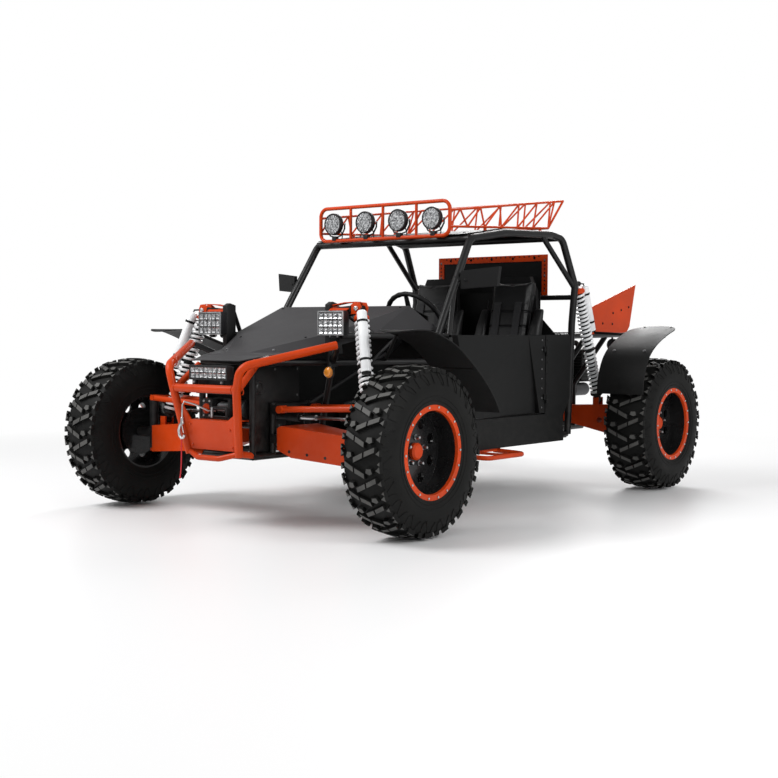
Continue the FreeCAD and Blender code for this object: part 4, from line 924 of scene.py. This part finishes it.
def make_seats():
    pads = make_seat_pads()
    bpy.context.view_layer.update()
    back = pads[1]
    pieces = [(pad, "leather", "seat_black", True) for pad in pads]
    pieces += [(seat_shell(), "trim", "seat_black", False), (seat_piping(), "trim", "seat_black", False),
               (harness(back), "webbing", "seat_black", False), (buckles(back), "cast", "cast_black", False)]
    for piece, look, material_slot, soft in pieces:
        piece.data.materials.clear()
        piece.data.materials.append(looks[look])
        mirrored_mesh = piece.data.copy()
        mirrored_mesh.transform(Matrix.Diagonal((1, -1, 1, 1)))
        mirrored_mesh.flip_normals()
        twin = add_object(piece.name + "_right", mirrored_mesh)
        piece.name = piece.name + "_left"
        for one in (piece, twin):
            hand_over(one, material_slot, "seats")


make_seats()


# Hook strap, winch and bumper details

def make_hook_strap():
    # The same route points as the solid's, on a smooth spline.
    curve = bpy.data.curves.new("hook_pull_strap", "CURVE")
    curve.dimensions = "3D"
    curve.bevel_depth = 0.003
    curve.bevel_resolution = 4
    curve.resolution_u = 16
    spline = curve.splines.new("NURBS")
    points = [(1.606, -0.160, 0.402), (1.608, -0.158, 0.352), (1.604, -0.164, 0.302), (1.598, -0.172, 0.254),
              (1.592, -0.186, 0.212)]
    spline.points.add(len(points) - 1)
    for target, point in zip(spline.points, points):
        target.co = (*point, 1.0)
    spline.order_u = 3
    spline.use_endpoint_u = True
    curve.materials.append(looks["strap"])
    strap = add_object("hook_pull_strap", curve)
    hand_over(strap, "strap_red", "hook_strap")
    knot = Builder()
    knot.lathe((1592.5, -185, 213.5), (-0.1, -0.3, -0.95), [(-6, 3.4), (-4, 4.4), (0, 4.6), (2, 4), (2.5, 3)], 16)
    stop = knot.make("hook_strap_stitched_end", "strap", "strap_red")


def bolt_head(build, place, direction, radius, height, sides=6):
    # A washer with a chamfered head on it.
    washer = radius * 0.18
    build.lathe(place, direction, [(-0.5, radius * 1.45), (washer, radius * 1.45), (radius * 0.19, radius)], 20)
    build.lathe(place, direction, [(washer, radius), (washer + height * 0.75, radius),
                                   (washer + height, radius * 0.78)], sides)


def make_winch():
    dark, metal, orange = Builder(), Builder(), Builder()
    x0, x1, z0, z1 = 1398, 1508, 492.5, 587
    middle = Vector(((x0 + x1) / 2, 0, (z0 + z1) / 2))
    dark.lathe(middle + Y * 40, Y, [(0, 40), (3, 46.5), (10, 46.5), (11, 43), (70, 43), (71, 46), (81, 46), (85, 40)])
    dark.lathe(middle - Y * 120, -Y, [(0, 34), (3, 34), (5, 30)], 36)
    for corner, far_corner, chamfer in (
        ((x0 + 6, 40, z0), (x1 - 4, 52, z1), 4), ((x0, -125, z0), (x1, -60, z1), 8),
        ((x0 + 20, -62, z1 - 10), (x0 + 36, 42, z1 - 2), 2), ((x0 + 10, -124, z0), (x1 - 10, 124, z0 + 6), 1),
        ((x1, -124, z0), (x1 + 6, 60, z0 + 10), 1), ((x1, -124, z0 + 50), (x1 + 6, 60, z0 + 60), 1),
    ):
        dark.box(corner, far_corner, chamfer)
    for y in (-112, -74):
        for z in (z1 - 12, z0 + 14):
            metal.lathe((x1 - 1, y, z), X, [(0, 6), (4, 5.5), (4.5, 3.5)], 6)
    for out in spokes(6, X, Z):
        metal.lathe(middle + Y * 124.5 + out * 37, Y, [(0, 3.4), (0.4, 3.4)], 8)
    knob = [(0, 20), (3, 23.5), (8, 23.5), (10, 18), (13, 10.5), (13.5, 6)]
    orange.lathe((x1 - 2, -93, middle.z), X, knob, 28)
    # The drum, its flanges and one layer of rope.
    metal.lathe(middle - Y * 60, Y, [(0, 18), (100, 18)], 28)
    for edge in (-60.5, 33.5):
        dark.lathe(middle + Y * edge, Y, [(0, 38), (4.5, 38)], 36)
    for row in range(13):
        centre = middle + Y * (6.8 * row - 52)
        metal.tube([centre + out * 28.5 for out in spokes(28, X, Z)], 3.3, 8, closed=True)
    # Rollers of the rope's guide.
    for y, build in ((-52, metal), (44, dark)):
        build.rod((x1 + 7, y, z0 + 6), (x1 + 7, y, z0 + 55), 6.5, 1, 20)
    for z in (z0 + 12, z0 + 48):
        dark.rod((x1 + 4, -50, z), (x1 + 4, 42, z), 5.2, 1, 20)
    # Rope, ferrule, hook and the hook's safety catch.
    metal.tube([(1500, -40, 530), (1520, -70, 530), (1560, -120, 560), (1600, -148, 574), (1607.5, -153, 558),
                (1607, -155, 520), (1606, -156, 486)], 4.2, 10)
    metal.lathe((1606, -156, 500), -Z, [(0, 6.2), (2, 7.8), (20, 7.8), (24, 9.5), (32, 9.5), (34, 7)], 20)
    hook = ((-156, 474), (-170, 462), (-178, 440), (-174, 416), (-160, 402), (-147, 406), (-139, 419))
    metal.tube([(1606, y, z) for y, z in hook], 7.2, 12)
    metal.tube([(1610.5, -157, 470), (1611.5, -150, 455), (1611.5, -141, 428)], 2.2, 8)
    dark.make("winch_body", "winch", "winch_black", "winch")
    metal.make("winch_drum_rope_hook", "metal", "bare_steel", "winch")
    orange.make("winch_clutch_knob", "orange", "orange_paint", "winch")


def weld_ring(build, centre, direction, radius):
    # A weld bead, in metres: a closed ring with a slightly stacked surface.
    axis, side, other = axes(direction)
    ring = []
    for i in range(40):
        turn = 2 * math.pi * i / 40
        out = side * (radius * math.cos(turn)) + other * (radius * math.sin(turn))
        ring.append(Vector(centre) + out + axis * (0.0006 * math.sin(turn * 18)))
    build.tube(ring, 0.0026, 8, closed=True)


def surface_points(node, starts, direction):
    # Where lines first meet the node's surface, and the surface's outward directions there.
    for start in starts:
        hit, place, normal, face = nodes[node].ray_cast(Vector(start) * MM, direction)
        if hit:
            yield place / MM, -normal if normal.dot(direction) > 0 else normal


def studs(build, node, starts, direction, radius, height, sides=6):
    for place, normal in surface_points(node, starts, direction):
        bolt_head(build, place, normal, radius, height, sides)


def make_bumper_details():
    welds, bolts = Builder(METRES), Builder()
    for side in (1, -1):
        weld_ring(welds, (1.614, side * 0.1885, 0.638), Y, 0.0195)
        weld_ring(welds, (1.597, side * 0.2175, 0.6335), (-0.7, side * 0.05, 0.2), 0.0175)
        weld_ring(welds, (1.560, side * 0.2690, 0.755), (-0.82, side * 0.54, 0.2), 0.0200)
    marks = ((-130, 372), (130, 372), (-128, 470), (128, 452))
    studs(bolts, "front_bumper", [(1900, y, z) for y, z in marks], -X, 5.2, 4)
    welds.make("bumper_weld_beads", "orange", "orange_paint", sharp=80.0)
    bolts.make("bumper_plate_bolts", "orange", "orange_paint")


make_hook_strap()
make_winch()
make_bumper_details()


# Body fasteners, mirrors and dash

def make_fasteners():
    bolts, dark = Builder(), Builder()
    plate_marks = ((-1216, 965), (-1337, 963), (-1345, 1030), (-1450, 1050), (-1547, 1070), (-1075, 925),
                   (-1075, 1025))
    for side, name in ((1, "left"), (-1, "right")):
        inward = Y * -side
        far = 1600 * side
        studs(dark, "side_pods", [(-317, far, 505 + 60 * i) for i in range(7)], inward, 4.2, 3, 12)
        strip = Builder()
        studs(strip, "door_" + name, [(-262, far, 500 + 52 * i) for i in range(8)], inward, 3.6, 2.6, 12)
        strip.make("door_screws_" + name, "dull", "bare_steel", body=name + "_door")
        for x, across, radius in ((-1255, (760, 930), 6.5), (-900, (750, 940), 6.5), (681, (690, 850), 6.5),
                                  (1030, (662, 700), 5.5)):
            studs(bolts, "fenders", [(x, side * y, 1400) for y in across], -Z, radius, 4)
        studs(dark, "hood", [(660, side * 395, 1400), (1160, side * 215, 1400)], -Z, 5, 3, 14)
        studs(dark, "roof_panel", [(190 * i - 600, side * 430, 1900) for i in range(5)], -Z, 5, 3.5, 12)
        studs(dark, "rear_plates", [(x, far, z) for x, z in plate_marks], inward, 5.2, 3.5)
    studs(bolts, "hood", [(1900, y, 815) for y in (-155, 155)], -X, 5, 3.5, 14)
    studs(bolts, "drilled_frame", [(200, y, z) for y in (-371, 371) for z in (1150, 1240, 1330)], -X, 4.2, 3)
    bolts.make("body_bolts", "dull", "bare_steel")
    dark.make("tail_plate_bolts", "trim", "cast_black")


def make_nose_panels():
    # Black side sheets inside the nose tubes, each with a round cover and screws.
    panels, screws = Builder(), Builder()
    outline = [(1455, 336), (1455, 742), (1130, 742), (1130, 532), (1305, 532), (1305, 336)]
    for side in (1, -1):
        panels.sheet(1, side * 144, outline, side * 4, 0.8)
        cover = [(0, 34), (3, 34), (5, 31), (4, 24), (7, 20), (8, 10)]
        panels.lathe((1408, side * 147.8, 640), Y * side, cover, 36)
        for x, z in ((1445, 372), (1320, 372), (1445, 725), (1145, 725), (1145, 600), (1300, 725)):
            bolt_head(screws, (x, side * 147.8, z), Y * side, 4.2, 3)
    panels.make("nose_side_panels", "frame", "frame_black")
    screws.make("nose_panel_screws", "dull", "bare_steel")


def make_hole_shade_discs():
    # Small black discs on the front of a node, in place of holes: painted shade of the holes' dark insides.
    frame_marks = [(200, side * 371, 1165 + 22.5 * i) for side in (1, -1) for i in range(8)]
    frame_marks += [(200, 33 * i - 330, 1352) for i in range(21)]
    arm_marks = [(1900, side * y, z) for side in (1, -1) for y, z in ((275, 346), (375, 336), (475, 327))]
    for name, node, starts, radius in (("drilled_frame_hole_shades", "drilled_frame", frame_marks, 5.2),
                                       ("arm_plate_hole_shades", "suspension_arms", arm_marks, 7.5)):
        build = Builder()
        for place, normal in surface_points(node, starts, -X):
            # Each disc is painted shade where a hole's dark inside shows.
            build.lathe(place, normal, [(-0.4, radius), (0.3, radius), (0.4, radius * 0.65)], 14)
        build.make(name, "trim", "frame_black")


def make_mirrors():
    glass, rim = Builder(), Builder()
    for side in (1, -1):
        face = [Vector((360 - 0.37 * (y - 566), side * y, z))
                for y, z in ((578, 1204), (740, 1222), (731, 1146), (578, 1133))]
        glass.prism(face, X * -1.2)
        centre = sum(face, Vector()) / 4
        wide = [centre + (point - centre) * 1.05 for point in face]
        for near, far in zip(wide, wide[1:] + wide[:1]):
            rim.tube([near, far], 2.6, 8)
            rim.lathe(near - X * 0.1, -X, [(0, 2.6), (2, 2)], 10)
        studs(rim, "mirrors", [(1200, side * 590, 1168)], -X, 6, 4)
        clamp = [(0, 10.5), (18, 12), (34, 12), (40, 10.5)]
        rim.lathe((387, side * 530, 1180), (-0.30, side * 0.55, -0.22), clamp, 20)
    glass.make("mirror_glass", "mirror", "bare_steel")
    rim.make("mirror_rims", "trim", "trim_black")


def make_dash():
    # Two round gauges, a row of rocker switches and a grab handle on the dash face, which looks to the rear.
    dark, metal, pale = Builder(), Builder(), Builder()
    face = 504
    for y in (235, 345):
        centre = Vector((face + 0.5, y, 925))
        metal.lathe(centre, -X, [(0, 44), (6, 44), (9, 40), (7, 37), (3, 36.5)])
        dark.lathe(centre, -X, [(0, 37), (4, 37)])
        for i in range(11):
            out = aim(math.radians(26 * i - 40))
            pale.tube([centre - X * 4.2 + out * 27, centre - X * 4.2 + out * 34], 0.7, 4)
        pale.tube([centre - X * 5.5, centre - X * 5.5 + aim(2.2) * 26], 0.8, 4)
    for y in range(20, -161, -45):
        dark.box((face - 6, y - 13, 900), (face + 1, y + 13, 935), 2)
        dark.box((face - 11, y - 9, 905), (face - 5, y + 9, 930), 2)
    handle = ((506, -200), (469, -205), (464, -220), (464, -330), (469, -345), (506, -350))
    dark.tube([(x, y, 850) for x, y in handle], 10, 16)
    for y in (-440, 440):
        for z in (790, 950):
            bolt_head(metal, (face + 0.5, y, z), -X, 5, 3.5)
    dark.make("dash_switches_handle", "trim", "trim_black")
    metal.make("dash_gauge_rings", "metal", "bare_steel")
    pale.make("dash_gauge_marks", "white", "spring_white")


def make_steering_wheel():
    # Padded rim with finger bumps, three spokes and a bolted hub.
    centre = Vector((372, 275, 955))
    back = aim(math.radians(32), -X, Z)
    up = Y.cross(back)
    rim, arms, metal = Builder(), Builder(), Builder()
    rings = []
    for i, out in enumerate(spokes(96, Y, up)):
        grip = 12.7 + 0.9 * math.cos(math.pi * i / 2)
        rings.append(rim.loop([centre + out * 170 + around * grip for around in spokes(16, out, back)]))
    rim.skin(rings, closed=True)
    for out in spokes(3, Y, up, math.pi / 2):
        side = back.cross(out)
        inner = centre + out * 26 - back * 28
        outer = centre + out * 163 - back * 3
        arms.prism([inner + side * 19, outer + side * 12, outer - side * 12, inner - side * 19], back * 6, 1)
        bolt_head(metal, centre + out * 25 - back * 8.5, back, 3.5, 3)
    hub = [(0, 17.5), (18, 17.5), (19, 30), (22, 33.5), (46, 33.5), (51, 30)]
    arms.lathe(centre - back * 59.5, back, hub, 36)
    arms.lathe(centre - back * 10, back, [(0, 18), (3, 18), (8, 15), (10, 8)], 32)
    for build, name, look, slot in ((rim, "rim", "trim", "trim_black"), (arms, "spokes", "frame", "trim_black"),
                                    (metal, "bolts", "metal", "bare_steel")):
        build.make("steering_wheel_" + name, look, slot, "steering_wheel", "hand_wheel", 40.0)


make_fasteners()
make_nose_panels()
make_hole_shade_discs()
make_mirrors()
make_dash()
make_steering_wheel()


# Engine bay

def make_engine():
    block, metal, dark = Builder(), Builder(), Builder()
    # Cylinder block with cooling ribs, head and rocker cover; gearbox with ribs and a flange; tail mount.
    castings = [((-1030, -205, 372), (-815, 205, 640), 10), ((-1015, -190, 640), (-830, 190, 770), 6),
                ((-1000, -185, 770), (-845, 185, 832), 16), ((-1300, -190, 345), (-1045, 190, 600), 18),
                ((-1052, -215, 350), (-1036, 215, 634), 4), ((-1398, -60, 340), (-1298, 60, 418), 8)]
    castings += [((-1024, -199, 655 + 16 * i), (-821, 199, 661 + 16 * i), 2) for i in range(7)]
    castings += [((-985, 60 * i - 154, 830), (-860, 60 * i - 146, 842), 2) for i in range(6)]
    castings += [((30 * i - 1285, -205, 380), (30 * i - 1277, 205, 580), 3) for i in range(8)]
    for casting in castings:
        block.box(*casting)
    for y in (-165, -55, 55, 165):
        for x in (-990, -855):
            bolt_head(metal, (x, y, 830), Z, 5.5, 6)
    dark.lathe((-923, 20, 829), Z, [(0, 30), (10, 30), (12, 34), (26, 34), (29, 30)], 32)
    for side in (1, -1):
        for i in range(6):
            bolt_head(metal, (-1052.5, side * 200, 372 + 48 * i), -X, 5.5, 5)
        # Round clutch cover with ribs.
        cover = Vector((-925, side * 204, 520))
        out = Y * side
        block.lathe(cover, out, [(0, 98), (10, 98), (16, 92), (20, 60), (28, 56), (30, 30)], 48)
        for spot in spokes(12, X, Z):
            block.tube([cover + out * 17 + spot * 40, cover + out * 17 + spot * 88], 3.8, 6)
            bolt_head(metal, cover + out * 12.5 + spot * 93.5, out, 4.2, 4)
    # Alternator pulleys and the belt on the left side.
    belt = []
    for x, z, radius, start, end in ((-985, 700, 40, 80, 200), (-985, 600, 24, 180, 290), (-860, 715, 32, -50, 85)):
        metal.lathe((x, 195, z), Y, [(0, radius), (4, radius), (8, radius - 6), (14, radius), (18, radius),
                                     (20, radius - 10)], 32)
        turns = [math.radians(start + (end - start) * i / 8) for i in range(9)]
        belt += [Vector((x, 205, z)) + aim(turn, X, Z) * (radius - 2) for turn in turns]
    dark.tube(belt, 4.2, 8, closed=True)
    # Intake pipe, and the silencer across the gearbox with its straps, inlet and tail pipe.
    dark.tube([(-900, 0, 800), (-900, -60, 815), (-900, -120, 800), (-900, -175, 740)], 20, 16)
    dark.lathe((-1310, -185, 712), Y, [(0, 50), (6, 62), (12, 66), (358, 66), (364, 62), (370, 50)])
    for y in (-130, 110):
        metal.lathe((-1310, y, 712), Y, [(0, 66.2), (1, 68), (19, 68), (20, 66.2)])
        dark.box((-1300, y, 598), (-1280, y + 20, 660), 2)
    dark.tube([(-1020, -120, 700), (-1080, -130, 705), (-1160, -120, 712), (-1250, -100, 712)], 19, 16)
    metal.tube([(-1372, 60, 712), (-1400, 62, 712), (-1430, 64, 722), (-1460, 66, 742)], 17, 20)
    block.make("engine_castings", "engine", "engine_grey", "engine")
    metal.make("engine_bolts_pulleys", "metal", "bare_steel", "engine")
    dark.make("engine_belt_hoses", "trim", "cast_black", "engine")


def make_side_canisters():
    # Over the gearbox's edges, on both sides and clear of the rear bays: a catch tank and an air
    # box on a braced shelf, with a finned starter under it and hoses to the engine.
    dark, metal = Builder(), Builder()
    tank = [(0, 34), (4, 50), (12, 54)]
    for low in range(20, 161, 20):
        tank += [(low, 54), (low + 3, 57.3), (low + 12, 57.3), (low + 15, 54)]
    tank += [(186, 54), (190, 50), (206, 32), (216, 26)]
    starter = [(0, 20), (1, 34), (10, 40)]
    for low in range(14, 158, 11):
        starter += [(low, 36), (low + 0.5, 41), (low + 6.5, 41), (low + 7, 36)]
    starter += [(170, 40), (180, 30)]
    tank_hose = ((-1200, 210, 812), (-1197, 210, 836), (-1180, 205, 847), (-1148, 197, 841), (-1110, 185, 815),
                 (-1070, 172, 775), (-1030, 160, 745), (-1000, 150, 735))
    box_hose = ((-1440, 206, 798), (-1438, 204, 830), (-1420, 198, 844), (-1385, 186, 848), (-1340, 170, 846),
                (-1285, 148, 836), (-1230, 128, 822), (-1170, 116, 800), (-1090, 108, 768), (-1010, 100, 748))
    brace = ((-1299, 166, 480), (-1420, 166, 552), (-1500, 166, 600))
    for side in (1, -1):
        y = side * 210
        dark.lathe((-1200, y, 606), Z, tank)
        for z in (650, 760):
            metal.lathe((-1200, y, z), Z, [(0, 57.5), (1, 59), (11, 59), (12, 57.5)])
        # The air box has ribs round it, a lid with a lip and two clips.
        dark.box((-1552, y - 50, 606), (-1388, y + 50, 806), 16)
        for z in range(622, 749, 18):
            dark.box((-1555, y - 53.5, z), (-1385, y + 53.5, z + 9), 4)
        dark.box((-1557, y - 56, 772), (-1383, y + 56, 780), 3)
        clip = y + side * 54.5
        for x in (-1520, -1420):
            metal.box((x - 10, clip - 3, 752), (x + 10, clip + 3, 790), 2)
        dark.box((-1560, side * 150, 600), (-1140, side * 262, 606), 2)
        for x in (-1285, -1265):
            bolt_head(metal, (x, side * 172, 606), Z, 5.5, 5)
        for points, radius, segments in ((brace, 7, 10), (tank_hose, 19, 16), (box_hose, 17, 16)):
            dark.tube([(px, side * py, pz) for px, py, pz in points], radius, segments)
        metal.lathe((-1310, side * 226, 553), -X, starter, 32)
        dark.box((-1400, side * 226 - 14, 588), (-1325, side * 226 + 14, 602), 2)
    dark.make("engine_canisters_hoses", "trim", "cast_black")
    metal.make("engine_canister_bands", "engine", "engine_grey")


make_engine()
make_side_canisters()


# Stage, light and camera, in metres

def make_floor():
    mesh = bpy.data.meshes.new("studio_floor")
    build = bmesh.new()
    bmesh.ops.create_circle(build, cap_ends=True, segments=96, radius=14.0)
    build.to_mesh(mesh)
    build.free()
    floor = add_object("studio_floor", mesh)
    floor.location.z = -0.001
    # Pale near the vehicle; farther out the camera sees it fade into the white background.
    look = Look("floor_pale", {"Base Color": (0.86, 0.86, 0.865, 1.0), "Roughness": 0.35})
    length = look.node("VectorMath", "Value", {0: look.node("TexCoord", "Object")}, operation="LENGTH")
    seen = look.product(look.spread(length, 2.4, 5.5), look.node("LightPath", "Is Camera Ray"))
    glow = look.node("Emission", "Emission", {"Color": WHITE})
    mix = look.node("MixShader", "Shader", {"Fac": seen, 1: look.shader.outputs["BSDF"], 2: glow})
    look.wire(look.tree.nodes["Material Output"], {"Surface": mix})
    mesh.materials.append(look.material)


def make_world():
    world = bpy.data.worlds.new("studio")
    world.use_nodes = True
    sky = Nodes(world.node_tree)
    soft = sky.tree.nodes["Background"]
    sky.wire(soft, {"Color": WHITE, "Strength": 0.52})
    plain = sky.node("Background", "Background", {"Color": WHITE, "Strength": 1.0})
    seen = sky.node("LightPath", "Is Camera Ray")
    mix = sky.node("MixShader", "Shader", {"Fac": seen, 1: soft.outputs["Background"], 2: plain})
    sky.wire(sky.tree.nodes["World Output"], {"Surface": mix})
    bpy.context.scene.world = world


def make_lights():
    for name, place, target, size, watts in (
        ("key_lamp", (4.5, -2.5, 5.0), (0.3, 0, 0.6), 3.5, 350.0),
        ("side_lamp", (1.0, 6.0, 3.2), (0.0, 0, 0.5), 3.0, 190.0),
        ("back_lamp", (-5.0, -2.0, 4.0), (-0.3, 0, 0.8), 3.0, 210.0),
    ):
        light = bpy.data.lights.new(name, "AREA")
        light.shape = "DISK"
        light.size = size
        light.energy = watts
        lamp = add_object(name, light)
        lamp.location = place
        lamp.rotation_euler = (Vector(target) - Vector(place)).to_track_quat("-Z", "Y").to_euler()


def make_camera():
    # Where the photograph was taken from: its place, heading, tilt, roll and focal length.
    place = Vector((5.700, 4.2854, 0.8910))
    heading = 0.66574
    tilt = 0.04257
    roll = 0.00539
    focal_pixels = 1280.46
    frame_pixels = 778.0
    look = Vector((-math.cos(heading) * math.cos(tilt), -math.sin(heading) * math.cos(tilt), -math.sin(tilt)))
    right = look.cross(Z).normalized()
    up = right.cross(look)
    lens = bpy.data.cameras.new("photo_camera")
    lens.sensor_width = 36.0
    lens.lens = lens.sensor_width * focal_pixels / frame_pixels
    camera = add_object("photo_camera", lens)
    turn = Matrix((aim(roll, right, up), aim(roll, up, -right), -look)).transposed()
    camera.matrix_world = Matrix.Translation(place) @ turn.to_4x4()
    bpy.context.scene.camera = camera


make_floor()
make_world()
make_lights()
make_camera()
bpy.context.scene.view_settings.view_transform = "Standard"
